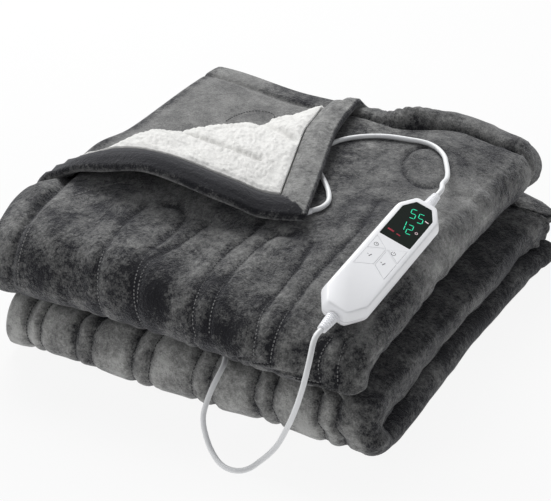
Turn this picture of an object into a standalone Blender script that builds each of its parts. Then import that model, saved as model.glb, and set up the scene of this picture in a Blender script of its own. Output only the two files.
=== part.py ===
"""Electric heated throw, folded into a stack: in three across its width, then in four along its length.

Metres, +Z up. X runs along the front of the stack, Y to its back. The cloth is one solid. Each point of
it has a place on the flat blanket (s across, t along, n through its thickness). letter_fold lays s in three
panels, length_fold lays t in four sections, turn_back rolls the top layer's back left corner over, and
settle gives the stack its soft, uneven form.
"""

import math

import bmesh
import bpy
import numpy as np
from mathutils import Euler, Vector
from mathutils.geometry import delaunay_2d_cdt

# The stack, before it settles
FOLD_WIDTH = 0.400
FRONT_Y = -0.022
BACK_Y = 0.428
TOP_HEM_Y = 0.410
BOTTOM_HEM_Y = 0.404
LAYER = 0.0095
GAP = 0.0018
PITCH = LAYER + GAP
PACK = 3 * PITCH

# The letter fold: panel a (hem inside), left fold, panel b, right fold, panel c (hem at the left)
LEFT_INNER = GAP / 2
RIGHT_INNER = PITCH - LAYER / 2
X_LEFT = LEFT_INNER + LAYER
X_RIGHT = FOLD_WIDTH - RIGHT_INNER - LAYER
A_HEM_X = X_RIGHT - 0.002
C_HEM_X = 0.004
LEFT_ARC = math.pi * (LEFT_INNER + LAYER / 2)
RIGHT_ARC = math.pi * (RIGHT_INNER + LAYER / 2)
S_A = A_HEM_X - X_LEFT
S_B = S_A + LEFT_ARC
S_BR = S_B + X_RIGHT - X_LEFT
S_C = S_BR + RIGHT_ARC
S_END = S_C + X_RIGHT - C_HEM_X

# The length fold: section 1 (top), front fold, 2, back fold, 3, front fold, 4 (bottom)
Y_FRONT = FRONT_Y + PACK - GAP / 2
Y_BACK = BACK_Y - PACK + GAP / 2
NOSE_ARC = math.pi * PACK / 2
RUN = Y_BACK - Y_FRONT
T_1 = TOP_HEM_Y - Y_FRONT
T_2 = T_1 + NOSE_ARC
T_2E = T_2 + RUN
T_3 = T_2E + NOSE_ARC
T_3E = T_3 + RUN
T_4 = T_3E + NOSE_ARC
T_END = T_4 + BOTTOM_HEM_Y - Y_FRONT

# The corner that is turned back: its fold line on the top layer, and how far the hems are drawn in
FOLD_START = (0.004, 0.076)
FOLD_ANGLE = math.radians(54.5)
ROLL = 0.010
ROLL_START = 0.0064
TIP_RISE = 0.0165
BACK_PULL = 0.054
GATHER_PULL = 0.024
GATHER_X = 0.258
STAND_FROM = 0.371
STAND_RISE = (0.002, 0.013)
SIDE_PULL = 0.075
PULL_FROM = 0.150
PULL_TO = 0.365

# Hems, sewn channels and the white pile face of the turned corner
HEM = 0.028
HEM_PUFF = 0.0022
HEM_SEAM = 0.0030
CHANNEL_FIRST = 0.026
CHANNEL_PITCH = 0.064
CHANNEL_RIB = 0.0185
CHANNEL_PAIRS = 6
CHANNEL_DEPTH = 0.0032
TRENCH = 0.0030
UPPER_CHANNEL_DEPTH = 0.0014
PILE_FLOOR = 0.0045
PILE_PROUD = 0.0010
PILE_STEP = 0.0016
PILE_TUCK = -0.012
PILE_EDGE = 0.0006
SEAT = 0.0003

# How the stack settles: the height of each section's top, and how far its right side stands out or in
IDEAL_HEIGHT = (0.0, PACK, 2 * PACK, 3 * PACK, 4 * PACK - GAP)
REAL_HEIGHT = (0.0, 0.0265, 0.0625, 0.1010, 0.1425)
RIGHT_LEVEL = (0.010, 0.024, 0.032, 0.055, 0.067, 0.090, 0.102, 0.140)
RIGHT_EDGE = (0.008, 0.008, -0.001, -0.001, -0.044, -0.044, -0.012, -0.012)

# The hand controller: the middle of its face, how it lies, and its sizes in its own frame (long way = Y)
CONTROLLER_AT = (0.3564, 0.0903, 0.1503)
CONTROLLER_TURN = (9.7, 17.8, 0.0)
FACE_HALF_LENGTH = 0.0840
FACE_HALF_WIDTH = 0.0202
FACE_CHAMFER = 0.0177
FACE_END_HALF = 0.0102
SKIRT = 0.0035
THICKNESS = 0.0190
PARTING = -0.0100
WINDOW = ((-0.0158, 0.0197), (0.0158, 0.0197), (0.0158, 0.0649), (0.0080, 0.0782), (-0.0080, 0.0782),
          (-0.0158, 0.0649))
WINDOW_DEPTH = 0.0020
UPPER_KEY = ((-0.0155, -0.0037), (-0.0018, 0.0056), (-0.0155, 0.0151))
LOWER_KEY = ((-0.0155, -0.0287), (-0.0009, -0.0186), (-0.0009, 0.0043), (-0.0155, -0.0056))
KEY_DEPTH = 0.0012
RELIEF_LENGTH = 0.0200
RELIEF_HALF_X = 0.0056
RELIEF_HALF_Z = 0.0042
RELIEF_AXIS = -0.0092
RIBS = 7

# The cord, and the gland that it enters the throw by, under the turned corner's tip
CORD_RADIUS = 0.0025
CORD_STEP = 0.0145
STRAIGHT = 0.0110
GLAND_MOUTH = (0.2570, 0.1400, 0.1446)
GLAND_ROOT = (0.2430, 0.1195, 0.1432)
GLAND_HALF_X = 0.0046
GLAND_HALF_Z = 0.0029
THROW_LEAD = (
    (0.3542, 0.2240, 0.1590), (0.3500, 0.2440, 0.1545), (0.3420, 0.2660, 0.1498),
    (0.3300, 0.2910, 0.1466), (0.3200, 0.3085, 0.1455), (0.3065, 0.3215, 0.1456),
    (0.2960, 0.3250, 0.1466), (0.2861, 0.3245, 0.1473), (0.2760, 0.3220, 0.1479),
    (0.2627, 0.3190, 0.1486), (0.2512, 0.3150, 0.1490), (0.2377, 0.3080, 0.1490),
    (0.2255, 0.2985, 0.1488), (0.2145, 0.2850, 0.1484), (0.2090, 0.2680, 0.1477),
    (0.2100, 0.2480, 0.1470), (0.2180, 0.2290, 0.1465), (0.2300, 0.2120, 0.1461),
    (0.2440, 0.1955, 0.1458), (0.2560, 0.1790, 0.1455), (0.2635, 0.1630, 0.1454),
)
MAINS_LEAD = (
    (0.3500, -0.0400, 0.1085), (0.3488, -0.0490, 0.0870), (0.3440, -0.0540, 0.0640),
    (0.3375, -0.0560, 0.0450), (0.3282, -0.0607, 0.0235), (0.3165, -0.0690, 0.0095),
    (0.3085, -0.0770, 0.0038), (0.2985, -0.0820, 0.0029), (0.2865, -0.0805, 0.0031),
    (0.2713, -0.0719, 0.0067), (0.2613, -0.0652, 0.0160), (0.2547, -0.0586, 0.0290),
    (0.2531, -0.0470, 0.0420), (0.2535, -0.0345, 0.0530), (0.2525, -0.0200, 0.0590),
    (0.2480, -0.0070, 0.0600), (0.2405, 0.0035, 0.0605), (0.2295, 0.0096, 0.0609),
    (0.2150, 0.0112, 0.0612), (0.2000, 0.0112, 0.0614), (0.1500, 0.0112, 0.0616),
    (0.0900, 0.0112, 0.0618), (0.0300, 0.0112, 0.0618),
    (0.0080, 0.0115, 0.0615), (-0.0090, 0.0130, 0.0600), (-0.0195, 0.0190, 0.0545),
    (-0.0235, 0.0310, 0.0430), (-0.0240, 0.0430, 0.0290), (-0.0240, 0.0560, 0.0165),
    (-0.0240, 0.0720, 0.0078), (-0.0238, 0.0940, 0.0038), (-0.0232, 0.1260, 0.0029),
    (-0.0222, 0.1560, 0.0029), (-0.0210, 0.1860, 0.0029), (-0.0205, 0.2315, 0.0029),
)

# The spare length, wound beside the stack, and its plug
COIL_AT = (-0.0543, 0.2500)
COIL_RADIUS = 0.0285
COIL_HALF_WIDTH = 0.0078
COIL_HALF_HEIGHT = 0.0052
COIL_SEGMENTS = 32
PLUG_LEAD = ((-0.0205, 0.2686, 0.0040), (-0.0208, 0.2960, 0.0062), (-0.0222, 0.3150, 0.0088))
PLUG_HALF_X = 0.0125
PLUG_HALF_Y = 0.0085
PLUG_RELIEF = 0.0220
PLUG_LENGTH = 0.0500
BLADE_APART = 0.0127
BLADE_HALF_X = 0.00075
BLADE_HALF_Y = 0.00315
BLADE_LENGTH = 0.0165

# The middle of the stack's footprint, which is the part's origin
CENTRE_X = 0.1977
CENTRE_Y = 0.1983


def smooth(value):
    """0 below 0, 1 above 1, and an even ramp between."""
    value = np.clip(value, 0.0, 1.0)
    return value * value * (3.0 - 2.0 * value)


def letter_fold(s, n):
    """Across the blanket: (x, height in the pack of three layers). n runs from the pile face outwards."""
    left = np.clip((s - S_A) / LEFT_ARC, 0.0, 1.0) * math.pi
    right = np.clip((s - S_BR) / RIGHT_ARC, 0.0, 1.0) * math.pi
    x = np.where(s < S_A, X_LEFT + (S_A - s), X_LEFT - (LEFT_INNER + n) * np.sin(left))
    m = LAYER + LEFT_INNER + (LEFT_INNER + n) * np.cos(left)
    x = np.where(s > S_B, X_LEFT + (s - S_B), x)
    on_right = s > S_BR
    x = np.where(on_right, X_RIGHT + (RIGHT_INNER + n) * np.sin(right), x)
    m = np.where(on_right, LAYER + RIGHT_INNER - (RIGHT_INNER + n) * np.cos(right), m)
    x = np.where(s > S_C, X_RIGHT - (s - S_C), x)
    return x, m


def length_fold(t, m):
    """Along the blanket: (y, z) of the stack before it settles."""
    across = PACK - GAP - m
    runs = (
        (t < T_1, TOP_HEM_Y - t, 3 * PACK + m),
        (t < T_2, *front_fold((t - T_1) / NOSE_ARC, m, 3 * PACK)),
        (t < T_2E, Y_FRONT + (t - T_2), 2 * PACK + across),
        (t < T_3, *back_fold((t - T_2E) / NOSE_ARC, across)),
        (t < T_3E, Y_BACK - (t - T_3), PACK + m),
        (t < T_4, *front_fold((t - T_3E) / NOSE_ARC, m, PACK)),
        (t >= T_4, Y_FRONT + (t - T_4), across),
    )
    y = np.select([run[0] for run in runs], [run[1] for run in runs])
    z = np.select([run[0] for run in runs], [run[2] for run in runs])
    return y, z


def front_fold(share, m, base):
    turn = share * math.pi
    radius = m + GAP / 2
    return Y_FRONT - radius * np.sin(turn), base - GAP / 2 + radius * np.cos(turn)


def back_fold(share, across):
    turn = share * math.pi
    radius = across + GAP / 2
    return Y_BACK + radius * np.sin(turn), 2 * PACK - GAP / 2 + radius * np.cos(turn)


FOLD_ALONG = np.array((math.cos(FOLD_ANGLE), math.sin(FOLD_ANGLE)))
FOLD_OUT = np.array((-FOLD_ALONG[1], FOLD_ALONG[0]))


def draw_in(x, y):
    """The top layer's back hem is drawn forwards and its side hem outwards where the corner is turned back."""
    pull = BACK_PULL * (1.0 - smooth((x - 0.12) / 0.20))
    pull = pull + GATHER_PULL * np.exp(-(((x - GATHER_X) / 0.040) ** 2))
    y = y - pull * np.clip((y - PULL_FROM) / (PULL_TO - PULL_FROM), 0.0, 1.0)
    side = SIDE_PULL * smooth((y - 0.06) / 0.26)
    return x - side * np.clip((0.22 - x) / 0.17, 0.0, 1.0), y


def beyond_fold(x, y):
    """(a along the corner's fold line, u beyond it) of a drawn-in point."""
    dx = x - FOLD_START[0]
    dy = y - FOLD_START[1]
    return dx * FOLD_ALONG[0] + dy * FOLD_ALONG[1], dx * FOLD_OUT[0] + dy * FOLD_OUT[1]


def turn_back(x, y, n):
    """The top layer, flat but for its corner, which rolls up over the fold line and lies back on the layer."""
    stand = hem_stand(x, y)
    x, y = draw_in(x, y)
    a, u = beyond_fold(x, y)
    stand = stand * smooth((PILE_TUCK - u) / 0.030)
    roll = ROLL_START + (ROLL - ROLL_START) * smooth((a - 0.02) / 0.12)
    turn = np.clip(u / roll, 0.0, math.pi)
    run = np.maximum(u - math.pi * roll, 0.0)
    rise = np.where(turn < math.pi, roll * (1.0 - np.cos(turn)), 2 * roll - fall(a, run) * (roll / ROLL))
    off = n - LAYER / 2
    out = np.where(u > 0.0, roll * np.sin(turn) - off * np.sin(turn) - run, u)
    x = FOLD_START[0] + a * FOLD_ALONG[0] + out * FOLD_OUT[0]
    y = FOLD_START[1] + a * FOLD_ALONG[1] + out * FOLD_OUT[1]
    return x, y, 3 * PACK + 2 * PITCH + LAYER / 2 + rise + stand + off * np.cos(turn)


def hem_stand(x, y):
    """How far the back hem stands up at a flat place: most beside the turned corner, where it is gathered."""
    height = STAND_RISE[0] * smooth((x - 0.20) / 0.06) + STAND_RISE[1] * np.exp(-(((x - GATHER_X) / 0.05) ** 2))
    return height * smooth((y - STAND_FROM) / (TOP_HEM_Y - STAND_FROM))


def fall(a, run):
    """The turned corner sinks from the height of its roll to that of its tip, with two soft troughs."""
    trough = 0.0030 * np.exp(-(((run - 0.045) / 0.014) ** 2)) * smooth((a - 0.05) / 0.08)
    return (2 * ROLL - TIP_RISE) * smooth(run / 0.16) + trough * smooth((0.27 - a) / 0.06)


def settle(x, y, z):
    """The squared stack made soft: heights, the slumped right side, the tapered front right, slow waves."""
    top = IDEAL_HEIGHT[-1]
    z = np.interp(z, IDEAL_HEIGHT, REAL_HEIGHT) + np.maximum(z - top, 0.0)
    upper = smooth((z - REAL_HEIGHT[2] + 0.004) / 0.02)
    x = x + np.interp(z, RIGHT_LEVEL, RIGHT_EDGE) * smooth((x - 0.17) / 0.22)
    bulge = (0.010 + 0.013 * np.exp(-(((y - 0.10) / 0.05) ** 2))) * smooth((y + 0.02) / 0.06)
    left = 0.008 * (1.0 - upper) - bulge * upper
    puff = 0.010 * (1.0 - smooth((x - 0.015) / 0.10)) * smooth((y - 0.10) / 0.08)
    x = x + left * (1.0 - smooth((x + 0.01) / 0.12))
    x = x + 0.010 * (1.0 - upper) * smooth((y - 0.34) / 0.08) * smooth((x - 0.30) / 0.08)
    y = y - 0.008 * upper * (1.0 - smooth((y - FRONT_Y) / 0.10)) * (1.0 - smooth((x - 0.30) / 0.10))
    share = np.clip((z - REAL_HEIGHT[2]) / (REAL_HEIGHT[3] - REAL_HEIGHT[2]), 0.0, 1.0)
    right = 0.020 * smooth((x - 0.28) / 0.14) ** 1.5
    front = 0.034 * smooth((x - 0.02) / 0.36) * np.clip((0.165 - y) / 0.19, 0.0, 1.0) ** 1.6
    front = front * np.clip((z - REAL_HEIGHT[2]) / (REAL_HEIGHT[4] - REAL_HEIGHT[2]), 0.0, 1.0)
    corner = 0.012 * np.exp(-(((x + 0.01) / 0.05) ** 2) - ((y + 0.03) / 0.055) ** 2)
    rear = 0.004 * (1.0 - smooth(x / 0.25)) * smooth((y - 0.15) / 0.2)
    z = z - (right + corner - rear - puff) * share - front
    lifted = smooth((z - REAL_HEIGHT[4] + 0.016) / 0.006)
    hump = 0.008 * np.exp(-(((x - 0.200) / 0.060) ** 2) - ((y - 0.350) / 0.050) ** 2)
    slump = 0.008 * np.exp(-(((x - 0.352) / 0.042) ** 2) - ((y - 0.170) / 0.060) ** 2)
    z = z + lifted * hump + slump * share
    wave = np.sin(17.0 * x + 2.0 * np.sin(9.0 * y)) * np.sin(13.0 * y + 1.3)
    z = z * (1.0 + 0.010 * wave)
    x = x + 0.0022 * np.sin(21.0 * y + 55.0 * z) * smooth((x - 0.25) / 0.12) * smooth(z / 0.01)
    y = y + 0.0015 * np.sin(26.0 * x + 40.0 * z) * (1.0 - smooth((y - 0.02) / 0.06)) * smooth(z / 0.01)
    return x, y, z


def on_top_layer(s, t):
    return (s > S_C - 1e-9) & (t < T_1 + 1e-9)


def cloth_point(s, t, n):
    """Points of the cloth, from its flat pattern to the settled stack."""
    x, m = letter_fold(s, n)
    y, z = length_fold(t, m)
    turned = turn_back(x, y, n)
    top = on_top_layer(s, t)
    x, y, z = (np.where(top, turned[i], (x, y, z)[i]) for i in range(3))
    x, y, z = settle(x, y, z)
    return np.stack((x - CENTRE_X, y - CENTRE_Y, z), axis=-1)


def channel_lines():
    """The x of each sewn channel line: pairs a rib apart."""
    starts = [CHANNEL_FIRST + CHANNEL_PITCH * i for i in range(CHANNEL_PAIRS)]
    return [start + step for start in starts for step in (0.0, CHANNEL_RIB)]


def outer_face(s, t):
    """The thickness at the grey face: drawn in at the channels and hem seams, full between."""
    x = X_RIGHT - (s - S_C)
    away = np.min([np.abs(x - line) for line in channel_lines()], axis=0)
    groove = np.exp(-((away / 0.0045) ** 2)) * (s > S_C)
    lower = smooth((t - T_3E + 0.05) / 0.03) * smooth((T_4 + 0.03 - t) / 0.02)
    upper = smooth((t - T_1 + 0.06) / 0.05) * smooth((T_2 + 0.02 - t) / 0.02)
    n = LAYER - groove * (CHANNEL_DEPTH * lower + UPPER_CHANNEL_DEPTH * upper) - cord_trench(x, s, t)
    on_top = on_top_layer(s, t)
    edge = np.minimum(np.where(on_top, S_END - s, 1.0), np.where(t < T_1, t, 1.0))
    seam = np.exp(-(((edge - HEM) / 0.003) ** 2))
    puff = smooth(edge / 0.010) * smooth((HEM - 0.002 - edge) / 0.008)
    return n - HEM_SEAM * seam + HEM_PUFF * puff * on_top


def cord_trench(x, s, t):
    """How far the two faces between the upper and lower half give way to the cord that lies between them."""
    away = np.minimum(np.abs(t - T_2), np.abs(t - T_3E))
    return TRENCH * np.exp(-((away / 0.008) ** 2)) * (s > S_C) * smooth((0.285 - x) / 0.03)


def inner_face(s, t):
    """The thickness at the white face: 0, or recessed on the turned corner, where the pile piece lies."""
    u = past_fold(s, t)
    depth = np.minimum(np.minimum(S_END - s, t) - HEM, u - PILE_TUCK) / PILE_STEP
    floor = PILE_FLOOR * np.clip(depth, 0.0, 1.0) * on_top_layer(s, t)
    return floor, depth > 1.0 - 1e-4


def past_fold(s, t):
    """How far past the corner's fold line a flat place of the top layer lies."""
    x, y = draw_in(X_RIGHT - (s - S_C), TOP_HEM_Y - t)
    return beyond_fold(x, y)[1]


def undrawn(x, y):
    """The flat (s, t) of a drawn-in place on the top layer, found by a few steps of correction."""
    flat_x = np.array(x, float)
    flat_y = np.array(y, float)
    for _ in range(30):
        got_x, got_y = draw_in(flat_x, flat_y)
        flat_x = flat_x + x - got_x
        flat_y = flat_y + y - got_y
    return S_C + X_RIGHT - flat_x, TOP_HEM_Y - flat_y


def spread(start, end, count):
    return [start + (end - start) * i / count for i in range(count + 1)]


def columns():
    """s of the pattern's lines along the blanket."""
    panel_x = [X_LEFT + 0.02, 0.10, 0.20, 0.26, 0.30, 0.335, 0.365]
    found = [0.0] + [X_LEFT + S_A - x for x in panel_x + [0.06, 0.14]] + spread(S_A, S_B, 4)
    found += [S_B + x - X_LEFT for x in panel_x] + spread(S_BR, S_C, 6)
    found += [S_C + X_RIGHT - x for x in panel_x + [0.06, 0.15]] + [S_END - HEM, S_END]
    return sorted(found)


def rows():
    """t of the pattern's lines across the blanket."""
    flat_y = [0.02, 0.06, 0.11, 0.19, 0.28, 0.35]
    found = [0.0, HEM] + [TOP_HEM_Y - y for y in flat_y + [0.235, 0.15, 0.315]]
    found += spread(T_1, T_2, 8) + [T_2 + y - Y_FRONT for y in flat_y] + spread(T_2E, T_3, 6)
    found += [T_3 + Y_BACK - y for y in flat_y] + spread(T_3E, T_4, 8)
    found += [T_4 + y - Y_FRONT for y in flat_y] + [T_END - 0.02, T_END]
    return sorted(found)


def clear_of_roll(s, t):
    """Whether a grid point stays: those by the corner's roll and beyond it give way to the roll's own lines."""
    return not on_top_layer(s, t) or past_fold(s, t) < PILE_TUCK - 0.008


def corner_lines():
    """The turned corner's own pattern lines, parallel to its fold, as lists of (s, t) up to the hems."""
    steps = [PILE_TUCK, PILE_TUCK + PILE_STEP] + spread(0.0, math.pi * ROLL, 5)
    steps += [math.pi * ROLL + step for step in (0.018, 0.036, 0.052, 0.075, 0.105, 0.135)]
    found = []
    for u in steps:
        a = np.linspace(-0.35, 0.60, 1200)
        x = FOLD_START[0] + a * FOLD_ALONG[0] + u * FOLD_OUT[0]
        y = FOLD_START[1] + a * FOLD_ALONG[1] + u * FOLD_OUT[1]
        s, t = undrawn(x, y)
        inside = (s < S_END) & (t > 0.0) & (s > S_C + 0.02) & (t < T_1 - 0.01)
        kept = np.flatnonzero(inside)
        if len(kept) < 4:
            continue
        first, last = kept[0], kept[-1]
        start = crossing(s, t, first - 1, first)
        end = crossing(s, t, last, last + 1)
        count = max(2, round((last - first) / 1200 * 0.95 / 0.024))
        between = np.linspace(first, last, count + 1)[1:-1].round().astype(int)
        found.append([start] + [(s[i], t[i]) for i in between] + [end])
    return found


def crossing(s, t, i, j):
    """Where the line from point i to point j leaves the pattern, at its side hem or its back hem."""
    shares = [1.0]
    if max(s[i], s[j]) > S_END:
        shares.append((S_END - s[i]) / (s[j] - s[i]))
    if min(t[i], t[j]) < 0.0:
        shares.append((0.0 - t[i]) / (t[j] - t[i]))
    share = shares[-1]
    return min(s[i] + share * (s[j] - s[i]), S_END), max(t[i] + share * (t[j] - t[i]), 0.0)


def hem_lines():
    """Lines along the top layer's two hems: the seam, and the foot of the pile's recess."""
    found = []
    reach = undrawn(*(np.array(v) for v in (0.30, 0.36)))[0]
    for inset in (HEM, HEM + PILE_STEP):
        found.append([(s, inset) for s in np.linspace(float(reach), S_END, 14)])
        found.append([(S_END - inset, t) for t in np.linspace(0.0, T_1 - 0.08, 14)])
    return found


def pattern(outer):
    """The flat pattern cut into triangles: (points as (s, t), triangles)."""
    points = []
    edges = []

    def add_line(line):
        first = len(points)
        points.extend(Vector((float(s), float(t))) for s, t in line)
        edges.extend((i, i + 1) for i in range(first, len(points) - 1))

    ribs = []
    for line in channel_lines():
        ribs += [S_C + X_RIGHT - line, S_C + X_RIGHT - line - CHANNEL_RIB / 2]
    ribs += [S_C + X_RIGHT - line - 0.032 for line in channel_lines()[::2]]
    for t in rows():
        on_nose = T_3E - 0.03 < t < T_4 + 0.02 or T_1 - 0.03 < t < T_2 + 0.01
        line = sorted(set(columns()) | (set(ribs) if outer and on_nose else set()))
        line = [s for s in line if s <= S_END and clear_of_roll(s, t)]
        add_line([(s, t) for s in line])
    for s in spread(S_A, S_B, 4) + spread(S_BR, S_C, 6):
        add_line([(s, t) for t in rows()])
    for line in corner_lines() + hem_lines():
        add_line(line)
    add_line([(S_END, t) for t in (0.0, T_END)])
    verts, _, faces, _, _, _ = delaunay_2d_cdt(points, edges, [], 0, 1e-6)
    return np.array([(v.x, v.y) for v in verts]), np.array([tuple(f) for f in faces])


def border_edges(faces):
    """The directed edges that only one triangle has."""
    ends = np.concatenate((faces[:, (0, 1)], faces[:, (1, 2)], faces[:, (2, 0)]))
    seen = {tuple(edge) for edge in ends}
    return [edge for edge in map(tuple, ends) if (edge[1], edge[0]) not in seen]


def mesh_object(name, points, faces, material):
    mesh = bpy.data.meshes.new(name)
    mesh.from_pydata([tuple(p) for p in points], [], [tuple(f) for f in faces])
    tidy = bmesh.new()
    tidy.from_mesh(mesh)
    bmesh.ops.remove_doubles(tidy, verts=tidy.verts, dist=1e-6)
    bmesh.ops.recalc_face_normals(tidy, faces=tidy.faces)
    if tidy.calc_volume(signed=True) < 0.0:
        bmesh.ops.reverse_faces(tidy, faces=tidy.faces)
    tidy.to_mesh(mesh)
    tidy.free()
    obj = bpy.data.objects.new(name, mesh)
    mesh.materials.append(material)
    PARTS.objects.link(obj)
    return obj


def build_cloth(material):
    """The blanket: both faces of the pattern laid out and joined round the hems by a rounded rim."""
    outer_st, outer_faces = pattern(True)
    inner_st, inner_faces = pattern(False)
    outer = cloth_point(outer_st[:, 0], outer_st[:, 1], outer_face(outer_st[:, 0], outer_st[:, 1]))
    inner_n, _ = inner_face(inner_st[:, 0], inner_st[:, 1])
    inner = cloth_point(inner_st[:, 0], inner_st[:, 1], inner_n)
    points = list(outer) + list(inner)
    faces = [tuple(f) for f in outer_faces] + [tuple(f[::-1] + len(outer)) for f in inner_faces]
    twin = {(round(s, 5), round(t, 5)): i for i, (s, t) in enumerate(inner_st)}
    rim = {}
    for a, b in border_edges(outer_faces):
        for i in (a, b):
            if i not in rim:
                s, t = outer_st[i]
                out_s = 0.0025 * ((s > S_END - 1e-6) * 1.0 - (s < 1e-6))
                out_t = 0.0025 * ((t > T_END - 1e-6) * 1.0 - (t < 1e-6))
                rim[i] = len(points)
                points.append(cloth_point(s + out_s, t + out_t, np.array(LAYER / 2)))
        c, d = (twin[(round(outer_st[i][0], 5), round(outer_st[i][1], 5))] + len(outer) for i in (a, b))
        e, f = rim[a], rim[b]
        faces += [(b, a, e), (b, e, f), (f, e, c), (f, c, d)]
    return mesh_object("blanket_cloth", points, faces, material)


def build_pile(material):
    """The white pile face, only on the turned corner, seated in the cloth's recess."""
    st, faces = pattern(False)
    _, in_floor = inner_face(st[:, 0], st[:, 1])
    on_top = on_top_layer(st[:, 0], st[:, 1])
    kept = faces[(in_floor & on_top)[faces].all(axis=1)]
    used = np.unique(kept)
    new = {old: i for i, old in enumerate(used)}
    kept = np.array([[new[i] for i in f] for f in kept])
    s, t = st[used].T
    s = np.where(past_fold(s, t) < PILE_TUCK + 2 * PILE_STEP, s + 1.5 * PILE_EDGE, s)
    s = np.minimum(s, S_END - HEM - PILE_STEP - PILE_EDGE)
    t = np.maximum(t, HEM + PILE_STEP + PILE_EDGE)
    under = cloth_point(s, t, np.full(len(s), PILE_FLOOR - 2 * SEAT))
    over = cloth_point(s, t, np.full(len(s), -PILE_PROUD))
    count = len(used)
    faces = [tuple(f) for f in kept] + [tuple(f[::-1] + count) for f in kept]
    for a, b in border_edges(kept):
        faces += [(b, a, a + count), (b, a + count, b + count)]
    return mesh_object("pile_lining", list(under) + list(over), faces, material)


def principled(name, colour, roughness, metallic=0.0):
    material = bpy.data.materials.new(name)
    material.use_nodes = True
    shader = material.node_tree.nodes["Principled BSDF"]
    shader.inputs["Base Color"].default_value = (*colour, 1.0)
    shader.inputs["Roughness"].default_value = roughness
    shader.inputs["Metallic"].default_value = metallic
    return material


def link(obj, material, parent=None):
    obj.data.materials.append(material)
    PARTS.objects.link(obj)
    obj.parent = parent
    return obj


def to_object(name, shape, material, parent=None):
    """The bmesh as a named object, with its faces pointing out."""
    bmesh.ops.recalc_face_normals(shape, faces=shape.faces)
    mesh = bpy.data.meshes.new(name)
    shape.to_mesh(mesh)
    shape.free()
    return link(bpy.data.objects.new(name, mesh), material, parent)


def octagon(grow):
    """The controller's outline in plan, counter-clockwise, grown by this much."""
    chamfer = FACE_CHAMFER + grow * 0.4
    half_x, half_y, end = FACE_HALF_WIDTH + grow, FACE_HALF_LENGTH + grow, FACE_END_HALF + grow * 0.4
    side = half_y - chamfer
    right = [(half_x, -side), (half_x, side), (end, half_y)]
    left = [(-end, half_y), (-half_x, side), (-half_x, -side)]
    return right + left + [(-end, -half_y), (end, -half_y)]


def loft(rings):
    """A closed solid through a stack of like outlines, each with its height."""
    shape = bmesh.new()
    levels = [[shape.verts.new((x, y, z)) for x, y in ring] for ring, z in rings]
    count = len(levels[0])
    for low, high in zip(levels, levels[1:]):
        for i in range(count):
            shape.faces.new((low[i], low[(i + 1) % count], high[(i + 1) % count], high[i]))
    shape.faces.new(levels[0][::-1])
    shape.faces.new(levels[-1])
    return shape


def plate(outline, bottom, top):
    """A flat piece: its outline as a face, drawn up to its thickness."""
    shape = bmesh.new()
    face = shape.faces.new([shape.verts.new((x, y, bottom)) for x, y in outline])
    drawn = bmesh.ops.extrude_face_region(shape, geom=[face])["geom"]
    verts = [item for item in drawn if isinstance(item, bmesh.types.BMVert)]
    bmesh.ops.translate(shape, verts=verts, vec=(0.0, 0.0, top - bottom))
    return shape


def grown(outline, amount):
    """A convex outline with each side moved out by this much."""
    count = len(outline)
    area = sum(outline[i][0] * outline[(i + 1) % count][1] - outline[(i + 1) % count][0] * outline[i][1]
               for i in range(count))
    turn = 1.0 if area > 0 else -1.0
    lines = []
    for i in range(count):
        a = Vector(outline[i])
        b = Vector(outline[(i + 1) % count])
        along = (b - a).normalized()
        out = Vector((along.y, -along.x)) * turn * amount
        lines.append((a + out, along))
    found = []
    for i in range(count):
        (p, d), (q, e) = lines[i - 1], lines[i]
        share = (q - p).cross(e) / d.cross(e)
        found.append(tuple(p + d * share))
    return found


def mirrored(outline):
    return [(-x, y) for x, y in outline[::-1]]


def cut(obj, outline, bottom):
    """A pocket of this outline in the cover, down to this height."""
    cutter = bpy.data.objects.new(obj.name + "_pocket", bpy.data.meshes.new("pocket"))
    shape = plate(outline, bottom, 0.004)
    bmesh.ops.recalc_face_normals(shape, faces=shape.faces)
    shape.to_mesh(cutter.data)
    shape.free()
    cutter.hide_render = True
    cutter.display_type = "WIRE"
    cutter.parent = obj.parent
    CUTTERS.objects.link(cutter)
    pocket = obj.modifiers.new("pocket", "BOOLEAN")
    pocket.operation = "DIFFERENCE"
    pocket.object = cutter


def build_controller(shell, dark):
    """The hand controller: base, cover, dark display window and four flush membrane keys."""
    frame = bpy.data.objects.new("controller_frame", None)
    PARTS.objects.link(frame)
    frame.location = Vector(CONTROLLER_AT) - Vector((CENTRE_X, CENTRE_Y, 0.0))
    frame.rotation_euler = [math.radians(angle) for angle in CONTROLLER_TURN]
    foot, low, mid = octagon(SKIRT - 0.0045), octagon(SKIRT - 0.0008), octagon(SKIRT)
    rings = [(foot, -THICKNESS), (low, -THICKNESS + 0.005), (mid, PARTING - 0.0002 - SEAT)]
    to_object("controller_base", loft(rings), shell, frame)
    rings = [(mid, PARTING), (octagon(SKIRT - 0.0006), -0.0062), (octagon(0.0), 0.0)]
    cover = to_object("controller_cover", loft(rings), shell, frame)
    cut(cover, grown(WINDOW, SEAT), -WINDOW_DEPTH - SEAT)
    to_object("display_window", plate(WINDOW, -WINDOW_DEPTH, -0.0002), dark, frame)
    keys = (("timer", UPPER_KEY), ("power", mirrored(UPPER_KEY)))
    keys += (("cooler", LOWER_KEY), ("warmer", mirrored(LOWER_KEY)))
    for name, outline in keys:
        cut(cover, grown(outline, SEAT), -KEY_DEPTH - SEAT)
        to_object("key_" + name, plate(outline, -KEY_DEPTH, 0.0003), shell, frame)
    for end, name in ((1.0, "upper_strain_relief"), (-1.0, "lower_strain_relief")):
        relief = to_object(name, ribbed_sleeve(), shell, frame)
        relief.location = (0.0, end * (FACE_HALF_LENGTH + SKIRT + SEAT), RELIEF_AXIS)
        relief.rotation_euler = (-end * math.pi / 2, 0.0, 0.0)
    return frame


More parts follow.
